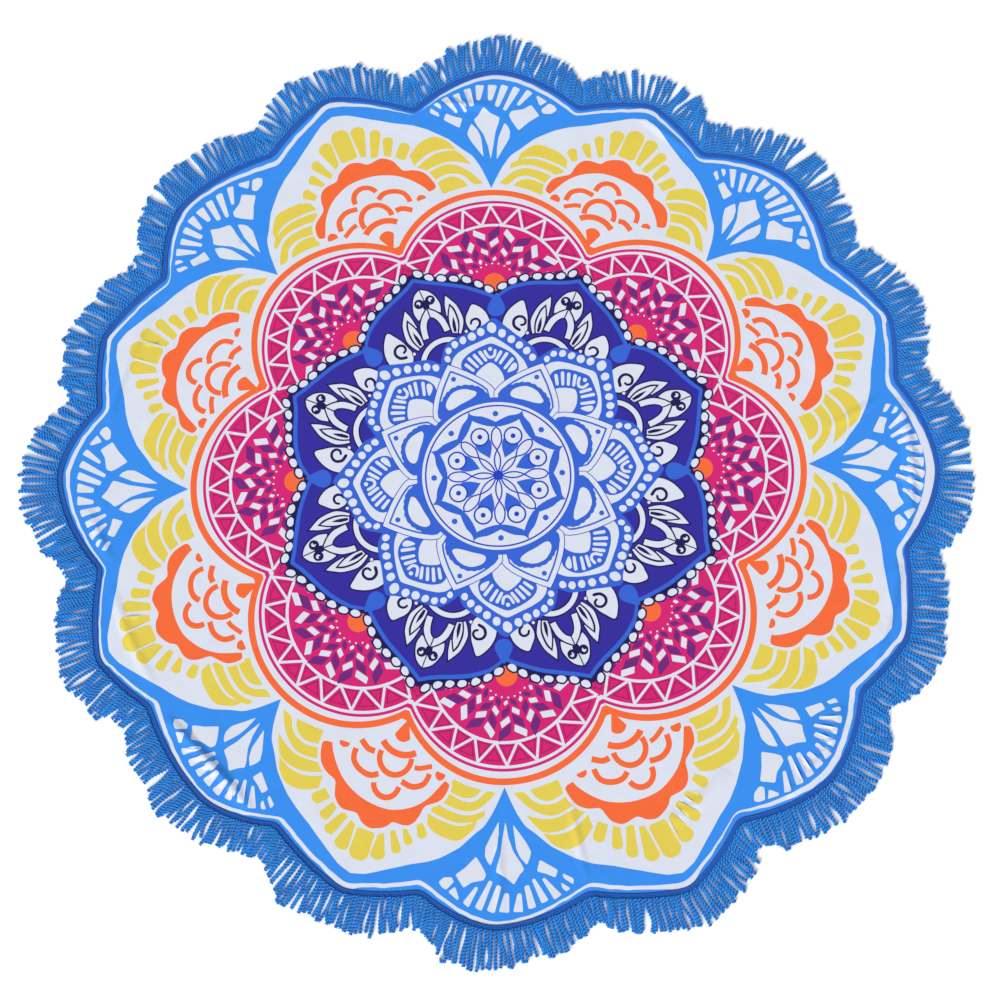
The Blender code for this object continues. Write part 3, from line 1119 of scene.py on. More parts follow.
    def clouds(self) -> None:
        """The orange cloud in each petal, with the white line round it."""
        outer = soft([
            (476, 95), (480, 104), (497, 102.5), (507, 96.5), (516.5, 83.5), (523, 76.5), (537, 73.5),
            (548, 69), (555, 61.5), (558, 51.5), (559, 36), (567, 29), (573, 20), (577.5, 8.5), (578, 0),
            (573.5, -11.5), (565, -22), (567, -41.5), (563.5, -51.5), (555, -60), (545, -63.5), (533, -68),
            (528, -82), (520, -93.5), (508, -100.5), (489, -104), (484, -98),
        ], 3)
        inner = soft([(483, -89.5), (493, -85.5), (510, -73.5), (525, -58.5), (535, -41.5), (542, -21.5),
                      (545, -1.5), (545, 15), (543, 28.5), (536.5, 45), (526.5, 61.5), (513, 75),
                      (500, 83.5), (483, 91.5)], 2)
        self.add(Dye.WHITE, grown(outer, 5.0), Axis.PETAL)
        self.add(Dye.ORANGE, np.concatenate([outer, inner]), Axis.PETAL)

    def scales(self) -> None:
        """The orange fish scales within each cloud."""
        width = 8.6
        bands = (
            (arc((510.5, 8), 19.8, -76.0, 95.0), width),
            (soft([(475, 67.5), (484, 66.8), (493, 63), (500, 53), (502, 43), (500, 29)], 3), width),
            (soft([(501, -8.5), (506.5, -17), (507.5, -28), (503.5, -41), (496, -50), (487, -53),
                   (478, -53)], 3), width),
            (arc((471, 8.5), 24.8, -98.0, 107.0, 20), width),
            (arc((424, 8.5), 40.0, -43.0, 43.0), 10.0),
            (soft([(463, 67), (469, 57), (473, 49), (474.5, 41.5)], 2), 7.5),
            (soft([(472, -25), (472.5, -35), (467.5, -44), (463, -50)], 2), 9.0),
        )
        for line, band_width in bands:
            self.add(Dye.ORANGE, stroke(line, band_width), Axis.PETAL)
        pieces = (
            [(446, 7), (444, 14), (438, 20), (414, 9), (414, 5), (438, -6), (444, 0)],
            [(467, 76), (475, 77), (480, 85), (475, 92), (467, 93)],
            [(474, -64), (480, -64.5), (484, -72), (481, -79), (475, -81)],
        )
        for piece in pieces:
            self.add(Dye.ORANGE, rounded(piece, 2.5), Axis.PETAL)

    def scallops(self) -> None:
        """The orange and magenta scallops, each with its band of triangles."""
        layers = (
            (Dye.ORANGE, 316.5, 168.5), (Dye.WHITE, 316.5, 158.5), (Dye.MAGENTA, 305.0, 160.0),
            (Dye.WHITE, 305.0, 155.5), (Dye.MAGENTA, 305.0, 151.0),
        )
        degrees = np.arange(0.0, 360.0, 1.0)
        away = np.radians((degrees + PETAL_AXIS_DEG) % SECTOR_DEG - PETAL_AXIS_DEG)
        for dye, centre, radius in layers:
            reach = centre * np.cos(away) + np.sqrt(radius**2 - (centre * np.sin(away)) ** 2)
            self.lay_one(dye, polar(degrees, reach))

        middle = np.array((305, 0))
        outer_ring, inner_ring = 151.0, 117.0
        outer = middle + polar(1.4 + np.arange(-5, 6) * 17.6, outer_ring)
        inner = middle + polar(1.5 + (np.arange(-6, 6) + 0.5) * 16.6, inner_ring)
        for k, corner in enumerate(outer):
            self.small_triangle(np.array([corner, inner[k], inner[k + 1]]))
        for k in range(1, len(inner) - 1):
            self.small_triangle(np.array([inner[k], outer[k - 1], outer[k]]))
        for k, corner in enumerate(outer):
            for end in (inner[k], inner[k + 1]):
                self.add(Dye.WHITE, stroke(np.array([corner, end]), 4.0))
        self.add(Dye.WHITE, ring(tuple(middle), inner_ring + 2.0, 72))
        self.add(Dye.MAGENTA, ring(tuple(middle), inner_ring - 2.5, 72))
        self.bricks(middle, inner_ring - 4.5)

    def small_triangle(self, corners: Points) -> None:
        """The thin dark line inside one triangle of the scallop's band."""
        centre = corners.mean(axis=0)
        self.add(Dye.INSET, centre + (corners - centre) * 0.60)
        self.add(Dye.MAGENTA, centre + (corners - centre) * 0.46)

    def bricks(self, middle: Points, room: float) -> None:
        """The fan of slanted bricks round each half sun, its dots and the half sun itself.

        Args:
            middle: the middle of the scallop.
            room: how far from there the bricks may reach.
        """
        sun = np.array((320, 3.5))
        rows = (42, 56, 71, 86.5, 101)
        white_sizes = ((7, 4.2), (12.5, 6.2), (16.5, 7.2), (21, 8.2), (21, 8.2))
        dark_sizes = ((11, 7.5), (15.5, 9.5), (19, 11), (23.5, 12.5), (23.5, 12.5))
        slant, column_step, first_turn = 52.0, 16.3, -2.0
        for column in range(-5, 6):
            turn = first_turn + column * column_step
            lean = slant if column % 2 else -slant
            for row, reach in enumerate(rows):
                white = (row + column) % 2 == 0
                length, width = (white_sizes if white else dark_sizes)[row]
                at = sun + polar(turn, reach)
                long_way = polar(turn + lean, length / 2.0)
                far_end, near_end = norm(at + long_way - middle), norm(at - middle)
                if far_end > room + 1.0 or near_end > room - 5.0:
                    continue
                square = -0.5 * math.copysign(90.0 - slant, lean) if white else 0.0
                short_way = polar(turn + square, width / 2.0 / math.sin(math.radians(slant)))
                brick = [at + long_way + short_way, at + long_way - short_way,
                         at - long_way - short_way, at - long_way + short_way]
                self.add(Dye.WHITE if white else Dye.PURPLE, rounded(brick, 1.2))
        for turn in np.arange(-3, 4) * 17.0 + 4.0:
            self.add(Dye.WHITE, ring(tuple(sun + polar(turn, 34.0)), 1.6, 6))
        self.add(Dye.ORANGE, ring(tuple(sun), 17.0, 28))

    def night_ring(self) -> None:
        """The navy lobes with their bead line and the blue line within it."""
        beads = (
            (2.2, 357.7, 52), (5, 347.8, 34), (8, 342, 22), (11.2, 337.9, 20), (14.7, 331.7, 30),
            (17.9, 324.3, 36), (20.9, 314, 32), (-1.8, 357.6, -46), (-4.2, 345.6, -38), (-7.3, 338.8, -22),
            (-10.6, 333.9, -20), (-14, 328.6, -30), (-17.2, 318.8, -40), (-20.1, 309, -34),
        )
        half_long, half_wide, dark_line = 7.9, 5.5, 2.6
        ground = [(0, 358), (2.2, 353), (5, 344.5), (8, 339), (11.2, 335.5), (14.7, 329), (17.9, 321.5),
                  (20.9, 311.5), (22.8, 302), (25, 306.5), (27.8, 315.5), (31, 326), (34.4, 331),
                  (37.7, 335.5), (40.8, 343), (43.2, 353.5)]
        knots = [(PETAL_AXIS_DEG + at, reach + dark_line) for at, reach in ground]
        self.lay_one(Dye.NIGHT, around(knots, 0.75))
        pebbles = []
        for turn, reach, lean in beads:
            outline = self.pebble(polar(turn, reach), half_long, half_wide, turn + 90.0 + lean)
            self.add(Dye.NIGHT, grown(outline, dark_line), Axis.PETAL)
            pebbles.append(outline)
        for outline in pebbles:
            self.add(Dye.WHITE, outline, Axis.PETAL)

        line = [(0, 349.5), (2.5, 341), (5.3, 335), (8.1, 331), (13.1, 324), (18.2, 313.5), (21, 302.5),
                (22.6, 294), (25, 300), (28.3, 307.5), (32.7, 318), (37.6, 328), (41, 336.5), (42.8, 341.5)]
        half_width = 3.4
        for dye, shift in ((Dye.ROYAL, half_width), (Dye.NAVY, -half_width)):
            knots = [(PETAL_AXIS_DEG + at, reach + shift) for at, reach in line]
            self.lay_one(dye, around(knots, 0.75))
        drop = both_sides(soft([(303, 0), (297, 5), (289, 9.5), (279, 13.8), (271, 13.2), (265, 8),
                                (262.5, 0)], 3))
        self.add(Dye.ROYAL, drop)

    def buds(self) -> None:
        """The bud on each petal's axis, with the arched stems below it."""
        self.spin_deg = -0.4
        bud = both_sides(np.concatenate([
            soft([(331, 0), (324, 11), (313, 18), (297, 22), (283, 18.8)], 4),
            soft([(283, 18.8), (290, 9), (296, 0)], 3)[1:],
        ]))
        self.outlined(bud, Axis.PETAL)
        self.add(Dye.NIGHT, stroke([(332, 0), (311, 0)], 1.8), Axis.PETAL)
        body = both_sides(soft([(294.5, 0), (297, 4.6), (303, 5.4), (310, 3.4), (311.5, 0)], 2))
        self.add(Dye.NIGHT, body, Axis.PETAL)
        self.add(Dye.NIGHT, ring((308.5, 9.4), 8.0), Axis.PETAL, both=True)
        hook = rounded([(304.5, 9.5), (309, 6.2), (313.2, 9), (311.8, 13.2), (308.5, 13.6),
                        (309.6, 10.2)], 1.6)
        self.add(Dye.WHITE, hook, Axis.PETAL, both=True)
        arch = np.concatenate([
            soft([(251, 22.5), (264, 21.5), (275, 19), (287, 11), (296, 1)], 4),
            soft([(282, 1), (278, 6), (271, 10), (261, 12.6), (250.6, 13.6)], 4),
        ])
        self.outlined(arch, Axis.PETAL, both=True)
        hoop_centre, hoop, hoop_width = (199, 0), 44.4, 8.0
        line = MOTIF_LINE
        for dye, radius in ((Dye.NIGHT, hoop + line), (Dye.WHITE, hoop), (Dye.NIGHT, hoop - hoop_width),
                            (Dye.NAVY, hoop - hoop_width - line)):
            self.add(dye, ring(hoop_centre, radius, 48), Axis.PETAL)

    def leaves(self) -> None:
        """The pair of nested leaves beside each bud."""
        outer = np.concatenate([
            soft([(238, 36.5), (248, 43.5), (261, 48.5), (283, 46.5), (296, 40.5), (306, 34.5)], 4),
            soft([(306, 34.5), (292, 29), (274, 25.5)], 4)[1:],
            soft([(273, 29.6), (283, 32.5), (292, 36.5)], 4),
            soft([(292, 36.5), (280, 41.5), (262, 42), (250, 39), (240, 34)], 4)[1:],
        ])
        inner = np.concatenate([
            soft([(241, 32), (252, 37), (263, 39), (277, 38.8), (287, 36)], 4),
            soft([(287, 36), (273, 29), (258, 25.5), (244, 25)], 4)[1:],
        ])
        core = np.concatenate([
            soft([(244, 27.6), (256, 28.8), (270, 34.6)], 4),
            soft([(270, 34.6), (258, 34.6), (244, 31.6)], 4)[1:],
        ])
        self.outlined(outer, Axis.PETAL, both=True)
        self.outlined(inner, Axis.PETAL, both=True)
        self.add(Dye.NIGHT, core, Axis.PETAL, both=True)

    def paisleys(self) -> None:
        """The paisley with its curl at each side of a lobe, larger on the anticlockwise side."""
        self.spin_deg = 0.0
        lower = soft([(236, -56), (249, -52.5), (260, -55.5), (268, -62.5), (276, -71.5), (270, -80),
                      (259, -86.5), (247, -88.5), (230, -86), (232, -68)], 4, closed=True)
        upper = soft([(226, 49), (239, 45.4), (250, 49), (262, 54), (272, 61), (283.5, 71.5), (271, 81.5),
                      (256, 86.8), (240, 87), (224, 80), (218, 62)], 4, closed=True)
        self.outlined(lower, Axis.PETAL)
        self.outlined(upper, Axis.PETAL)
        lower_curl = soft([(236, -66), (239.5, -71.5), (246, -73.4), (251.5, -69.5), (251.5, -62.5),
                           (247, -59)], 4)
        upper_curl = soft([(236, 57), (238.5, 66.5), (247, 71.5), (255, 68.5), (258, 60.5), (254, 53.8),
                           (247.5, 53.4), (244.6, 57.5)], 4)
        self.add(Dye.NIGHT, stroke(lower_curl, 4.6, 3.6, round_ends=True), Axis.PETAL)
        self.add(Dye.NIGHT, stroke(upper_curl, 5.0, 3.8, round_ends=True), Axis.PETAL)
        for spot in ((238, -47.5), (236, 43)):
            self.outlined(ring(spot, 2.6, 10), Axis.PETAL, line=1.2)

    def bead_petals(self) -> None:
        """The royal petals on the shells' axes, with their beaded edge and the white band within it."""
        rim = [(25, 198), (23.5, 214), (20.5, 229), (17, 235), (13.2, 237.5), (8.5, 242.5), (4, 251),
               (0.8, 260), (-3.5, 247), (-7.8, 235), (-12, 227), (-16, 219), (-19, 207), (-22, 190)]
        hidden = [(120, -45), (120, 45)]
        self.add(Dye.ROYAL, soft([*(polar(*knot) for knot in rim), *hidden], 3, closed=True))
        beads = (
            (21.6, 207, 5.6), (20, 219.5, 5.8), (16.8, 226, 6.4), (13.2, 229, 6.4), (9.4, 232.4, 7.2),
            (5.7, 238.2, 7.3), (1.6, 244, 9), (-2.5, 234.8, 7.4), (-6.4, 225.8, 7), (-10.1, 217.5, 6.6),
            (-13.7, 211, 6.6), (-17.1, 202.5, 6.4),
        )
        for turn, reach, radius in beads:
            self.add(Dye.WHITE, self.pebble(polar(turn, reach), radius, radius * 0.92, turn))
        band = [(176, 71), (191, 69), (202, 61), (212, 45), (221, 25), (230, 6), (222, -8), (212, -22),
                (201, -35), (188, -46.5), (172, -53), *hidden]
        eye = [(170, 50), (179, 55), (189, 54), (200, 45), (210, 29), (219, 8), (210, -12), (200.5, -28),
               (190, -35.5), (174, -38.5), (162, -30), (130, -25), (130, 40)]
        self.add(Dye.WHITE, rounded(band, 5.0))
        self.add(Dye.ROYAL, rounded(eye, 6.0))

    def eyes(self) -> None:
        """The rays, cup and dome of the eye in each bead petal."""
        rays = (
            ((173.5, 35), (182.5, 46.5)), ((179.5, 28.5), (192.5, 42)), ((185, 22), (198, 33.5)),
            ((190, 15), (203, 24.5)), ((189.5, -1), (203, -8.5)), ((185, -8), (200, -18)),
            ((176.5, -15.5), (191, -27)),
        )
        for inner, outer in rays:
            self.add(Dye.WHITE, stroke([inner, outer], 4.8, 5.6, round_ends=True))
        drop = soft([(169, -20), (176, -22), (185, -29.5), (182, -34.5), (174, -32.5)], 3, closed=True)
        self.add(Dye.WHITE, drop)
        cup = soft([(205, 17), (197, 12), (194.5, 7), (198, 1.6), (206, 0.4)], 4)
        self.add(Dye.WHITE, stroke(cup, 4.6, round_ends=True))
        self.add(Dye.WHITE, ring((208.5, 8.4), 3.4, 12))
        dome = [(167, 32), (179, 20.5), (187.5, 8), (181, -2), (169, -11.5), (156, -15), (130, -10),
                (130, 20)]
        self.add(Dye.WHITE, rounded(dome, 5.0))

    def inner_petals(self) -> None:
        """The white petals round the medallion, each lying over the next one's near side."""
        half = [(0, 198), (2.5, 191), (5, 184), (8, 176.5), (11, 169), (14, 162), (17, 155), (20, 147.5),
                (23, 138), (24.2, 127), (23, 114)]
        petal = both_sides(np.array([polar(*knot) for knot in half]))
        layers = ((Dye.DEEP_ROYAL, 1.3), (Dye.WHITE, 0.0), (Dye.ROYAL, -7.4), (Dye.WHITE, -10.2))
        for side in (-1, 1):
            for dye, shift in layers:
                outline = grown(petal, shift)
                near = outline[outline[:, 1] * side > 0.0]
                closing = [(near[:, 0].min(), 0.0), (outline[:, 0].max(), 0.0)]
                self.add(dye, self.closed_half(near, closing, side), Axis.PETAL)
        self.add(Dye.ROYAL, ring((173, 0.5), 4.1, 12), Axis.PETAL)

        edge = [(19, 139.5), (15, 147), (11.8, 151), (8.5, 155.7), (5.4, 158.7), (1, 160), (-2.5, 158.3),
                (-7, 155), (-10.3, 151), (-13.4, 146.5), (-16, 139)]
        line = soft([polar(*knot) for knot in edge], 6)
        bumps = 10
        wave = np.abs(np.sin(np.linspace(0.0, bumps * np.pi, len(line))))[:, None] * 1.5
        foot = [polar(-18, 134), polar(-19, 118), polar(20, 118), polar(20.5, 134)]
        self.add(Dye.ROYAL, np.concatenate([line + unit(line) * wave, foot]), Axis.PETAL)
        puff = [(128, 20), (129, 27.5), (136, 29.5), (143, 26), (149, 19), (153.5, 11), (154, -1),
                (151, -11), (145, -19), (139, -26), (134, -22.5), (131.5, -12), (130.5, 5)]
        self.add(Dye.WHITE, rounded(puff, 3.5), Axis.PETAL)

    @staticmethod
    def closed_half(near: Points, closing: list[Pair], side: float) -> Points:
        """One half of a petal: its rim from tip to foot, closed along the axis."""
        order = np.argsort(np.arctan2(near[:, 1] * side, near[:, 0]))
        return np.concatenate([near[order], closing])

    def medallion(self) -> None:
        """The rings, star, ovals and rosette in the middle."""
        whole = 90
        rings = ((Dye.ROYAL, 128.0), (Dye.WHITE, 120.0), (Dye.DEEP_ROYAL, 115.5), (Dye.WHITE, 113.0))
        for dye, reach in rings:
            self.lay_one(dye, ring((0, 0), reach, whole))
        self.add(Dye.ROYAL, ring((101, 0), 4.6, 14))
        star = [(0, 87.5), (4, 91), (8, 95), (12.8, 99.8), (17, 102.5), (20, 105.5), (21.6, 109),
                (PETAL_AXIS_DEG, 114.5)]
        hole = [(0, 79.5), (5, 80.2), (10, 82.5), (15, 86.5), (19, 91.5), (21.5, 95.5),
                (PETAL_AXIS_DEG, 98.0)]
        for dye, knots in ((Dye.ROYAL, star), (Dye.WHITE, hole)):
            mirrored = [(SECTOR_DEG - at, reach) for at, reach in knots[1:-1]]
            self.lay_one(dye, around(knots + mirrored, 0.75))

        fan = both_sides(soft([(30.5, 0), (37, 4.6), (45, 9.8), (53, 12.8), (60, 12.4), (66, 8)], 2))
        self.add(Dye.ROYAL, fan, Axis.PETAL)
        for dye, radius in ((Dye.DEEP_ROYAL, 15.2), (Dye.WHITE, 12.5), (Dye.DEEP_ROYAL, 3.9)):
            self.add(dye, ring((68.8, 0), radius, 28), Axis.PETAL)
        oval = both_sides(soft([(77.5, 0), (73, 4.6), (63, 6.9), (53, 5.6), (43.5, 0)], 3))
        self.outlined(oval, Axis.SHELL, line=2.3, dye=Dye.DEEP_ROYAL)
        slit = both_sides(soft([(39, 0), (32, 2.6), (25, 3.6), (16, 2.8), (8, 0)], 3))
        self.outlined(slit, Axis.SHELL, line=2.3, dye=Dye.DEEP_ROYAL)
        self.lay_one(Dye.DEEP_ROYAL, ring((0, 0), 8.0))


# ---------------------------------------------------------------- pieces

def in_scene(name: str, data: bpy.types.ID) -> Piece:
    """Adds a mesh, curve, lamp or camera to the scene, at the origin."""
    made = bpy.data.objects.new(name, data)
    bpy.context.scene.collection.objects.link(made)
    return made


def mesh_object(name: str, verts: np.ndarray, faces: list | np.ndarray, materials: list[bpy.types.Material],
                slots: np.ndarray | None = None) -> Piece:
    """Makes an object at the origin from points and faces.

    Args:
        name: the piece's name.
        verts: its points, in metres.
        faces: its faces, each a list of point numbers.
        materials: its finishes.
        slots: which finish each face has.

    Returns:
        The object, in the scene.
    """
    mesh = bpy.data.meshes.new(name)
    mesh.from_pydata(np.asarray(verts).tolist(), [], [list(map(int, face)) for face in faces])
    for material in materials:
        mesh.materials.append(material)
    if slots is not None:
        mesh.polygons.foreach_set("material_index", np.asarray(slots, dtype=np.int32))
    mesh.polygons.foreach_set("use_smooth", np.ones(len(mesh.polygons), dtype=bool))
    mesh.update()
    return in_scene(name, mesh)


def on_towel(points: Points, height: np.ndarray | float) -> np.ndarray:
    """Points round the lobes' middle, placed in the towel's frame at a height."""
    centred = np.asarray(points) + PATTERN_CENTRE
    return np.column_stack([centred, np.broadcast_to(height, len(centred))])


@dataclass
class Cloth:
    """The printed sheet: the print is cut into its upper side, and both sides follow its folds."""

    lay: Lay = field(default_factory=Lay)
    ripples: Ripples = field(default_factory=Ripples)
    edge_points: int = 720
    outer_limit: float = 0.71  # no point of the cloth is as far out as this
    grid_margin: float = 0.003  # the free points keep this far from the edge
    wide_spacing: float = 0.014  # between the points that carry the relief, in the middle
    rim_spacing: float = 0.0075  # and near the edge, where the folds are
    rim_zone: float = 0.50  # where the closer spacing starts
    fold_spacing: float = 0.0055  # and on the folds themselves
    fold_skirt: float = 0.004  # and this far past their feet
    crest_points: int = 41
    under_wide_spacing: float = 0.03  # the same on the plain underside
    under_rim_spacing: float = 0.012
    under_wide_zone: float = 0.53
    under_rim_zone: float = 0.54
    print_step_deg: float = 0.5
    edge_tidy: float = 0.0002  # the print stops this far inside the edge
    nearest: float = 1e-4  # points closer than this are one, in mm
    crease_deg: float = 50.0  # edges sharper than this are shaded sharp
    flat_width: float = 1.385  # what it was cut from
    slivers: tuple[tuple[float, float, float], ...] = (
        (22.5, 7.0, 0.0022), (139.0, 6.0, 0.0024), (188.0, 4.5, 0.0024), (250.5, 3.5, 0.0022),
        (338.0, 8.0, 0.0024), (100.0, 3.0, 0.0015),
    )  # where unprinted cloth shows at the edge: direction, half its spread in degrees, width

    def grid(self, spacing: float, nearest: float, furthest: float) -> Points:
        """Points of a triangular grid on the cloth.

        Args:
            spacing: how far apart they are.
            nearest: how far from the middle they start.
            furthest: how far from the middle they end.

        Returns:
            The points.
        """
        steps = np.arange(-furthest, furthest, spacing)
        x, y = np.meshgrid(steps, np.arange(-furthest, furthest, spacing * math.sqrt(0.75)))
        x = x + np.where(np.arange(len(x)) % 2, spacing / 2.0, 0.0)[:, None]
        found = np.column_stack([x.ravel(), y.ravel()])
        away = norm(found, axis=1)
        room = edge_reach(np.degrees(np.arctan2(found[:, 1], found[:, 0]))) - away
        return found[(away >= nearest) & (away < furthest) & (room > self.grid_margin)]

    def fold_grid(self) -> Points:
        """Closely spaced points on the folds.

        Returns:
            The points.
        """
        found = self.grid(self.fold_spacing, self.rim_zone, self.outer_limit)
        near = np.zeros(len(found), bool)
        for fold in FOLDS:
            crest = fold_line(fold, self.crest_points)
            gaps = norm(found[:, None] - crest[None], axis=2).min(axis=1)
            near |= gaps < fold.half_width + self.fold_skirt
        return found[near]

    def printed_ground(self) -> Points:
        """The outline of the border dye at the cloth's edge, with its unprinted slivers.

        Returns:
            The outline.
        """
        degrees = np.arange(0.0, 360.0, self.print_step_deg)
        bare = np.full_like(degrees, self.edge_tidy)
        for middle, spread, width in self.slivers:
            away = np.abs((degrees - middle + 180.0) % 360.0 - 180.0) / spread
            bare = np.maximum(bare, width * np.clip(1.0 - away**2, 0.0, 1.0))
        return polar(degrees, edge_reach(degrees) - bare)

    def height(self, points: Points) -> np.ndarray:
        """How high the underside lies at each point."""
        return fold_height(points) + self.ripples.height_at(points)

    def upper(self, edge: Points, mandala: Mandala) -> tuple[Points, np.ndarray, np.ndarray, list[int]]:
        """Cuts the print into the upper side.

        Args:
            edge: the cloth's edge.
            mandala: the print.

        Returns:
            The points, the triangles, each one's dye and the points that are the edge's.
        """
        palette = list(Dye)
        outlines = [(Dye.WHITE, edge), (Dye.BORDER_BLUE, self.printed_ground())]
        outlines += [(dye, self.lay.place(outline)) for dye, outline in mandala.shapes]
        free = np.concatenate([
            self.grid(self.wide_spacing, 0.0, self.rim_zone),
            self.grid(self.rim_spacing, self.rim_zone, self.outer_limit), self.fold_grid(),
        ])
        points = np.concatenate([outline for _, outline in outlines] + [free]) / MM
        starts = np.cumsum([0] + [len(outline) for _, outline in outlines])
        faces = [list(range(a, b)) for a, b in zip(starts, starts[1:])]
        corners, _, triangles, from_points, _, from_faces = delaunay_2d_cdt(
            [tuple(p) for p in points.tolist()], [], faces, 0, self.nearest)
        inside = [k for k, parents in enumerate(from_faces) if 0 in parents]
        dyes = np.array([palette.index(outlines[max(from_faces[k])][0]) for k in inside])
        where = {origin: k for k, found in enumerate(from_points) for origin in found if origin < len(edge)}
        kept = np.array([triangles[k] for k in inside])
        xy = np.array([tuple(corner) for corner in corners]) * MM
        used, kept_flat = np.unique(kept, return_inverse=True)
        renumber = {int(old): new for new, old in enumerate(used)}
        rim = [renumber[where[k]] for k in range(len(edge))]
        return xy[used], kept_flat.reshape(kept.shape), dyes, rim

    def lower(self, edge: Points) -> tuple[Points, list[list[int]], list[int]]:
        """Makes the plain underside.

        Args:
            edge: the cloth's edge.

        Returns:
            The points, the triangles and the points that are the edge's.
        """
        points = np.concatenate([
            edge, self.grid(self.under_rim_spacing, self.under_rim_zone, self.outer_limit),
            self.grid(self.under_wide_spacing, 0.0, self.under_wide_zone), self.fold_grid(),
        ])
        loop = [(k, (k + 1) % len(edge)) for k in range(len(edge))]
        corners, _, triangles, origins, *_ = delaunay_2d_cdt(
            [tuple(p) for p in (points / MM).tolist()], loop, [], 1, self.nearest)
        where = {origin: k for k, found in enumerate(origins) for origin in found if origin < len(edge)}
        return np.array([tuple(p) for p in corners]) * MM, triangles, [where[k] for k in range(len(edge))]

    def build(self) -> Piece:
        """Builds the cloth. Both sides follow the same folds, so that it keeps its thickness.

        Returns:
            The piece.
        """
        mandala = Mandala()
        mandala.draw()
        edge = edge_line(self.edge_points)
        top, top_faces, dyes, rim = self.upper(edge, mandala)
        low, low_faces, low_rim = self.lower(edge)
        verts = np.concatenate([
            on_towel(top, CLOTH_THICKNESS + self.height(top)), on_towel(low, self.height(low)),
        ])
        shift = len(top)
        under = [[shift + k for k in reversed(face)] for face in low_faces]
        wall = []
        for k in range(len(edge)):
            n = (k + 1) % len(edge)
            wall.append([rim[n], rim[k], shift + low_rim[k], shift + low_rim[n]])
        plain = list(Dye).index(Dye.WHITE)
        slots = np.concatenate([dyes, np.full(len(under) + len(wall), plain)])
        materials = [PrintedFinish(dye).material() for dye in Dye]
        made = mesh_object("cloth_print", verts, [*top_faces.tolist(), *under, *wall], materials, slots)
        made.data.set_sharp_from_angle(angle=math.radians(self.crease_deg))
        return made

    def flat_area(self) -> float:
        """The area of the cut cloth, in square metres."""
        x, y = edge_line(self.edge_points).T
        return float(abs(np.dot(x, np.roll(y, -1)) - np.dot(y, np.roll(x, -1))) / 2.0)


def line_object(name: str, lines: list[np.ndarray], closed: bool, tip_radius: float = 1.0) -> Piece:
    """Makes an object of straight-sided lines for a tree to start from.

    Args:
        name: its name.
        lines: each line's points.
        closed: whether the lines run round to their first points.
        tip_radius: their radius at their last points, where it is 1 before.

    Returns:
        The object, in the scene.
    """
    curve = bpy.data.curves.new(name, "CURVE")
    curve.dimensions = "3D"
    for points in lines:
        ones = np.ones(len(points))
        spline = curve.splines.new("POLY")
        spline.points.add(len(points) - 1)
        spline.points.foreach_set("co", np.column_stack([points, ones]).ravel())
        spline.points.foreach_set("radius", np.append(ones[1:], tip_radius))
        spline.use_cyclic_u = closed
    return in_scene(name, curve)


def settled(source: Piece, tree: bpy.types.NodeTree, values: dict[str, object], name: str) -> Piece:
    """Runs a tree on an object and keeps the result as a plain mesh.

    Args:
        source: the object whose shape the tree starts from.
        tree: the Geometry Nodes tree.
        values: the tree's named inputs.
        name: the finished piece's name.

    Returns:
        The finished piece, at the origin.
    """
    modifier = source.modifiers.new("make", "NODES")
    modifier.node_group = tree
    for item in tree.interface.items_tree:
        if item.item_type == "SOCKET" and item.in_out == "INPUT" and item.name in values:
            modifier[item.identifier] = values[item.name]
    graph = bpy.context.evaluated_depsgraph_get()
    graph.update()
    mesh = bpy.data.meshes.new_from_object(source.evaluated_get(graph), depsgraph=graph)
    mesh.name = name
    source.modifiers.remove(modifier)
    bpy.data.objects.remove(source, do_unlink=True)
    return in_scene(name, mesh)


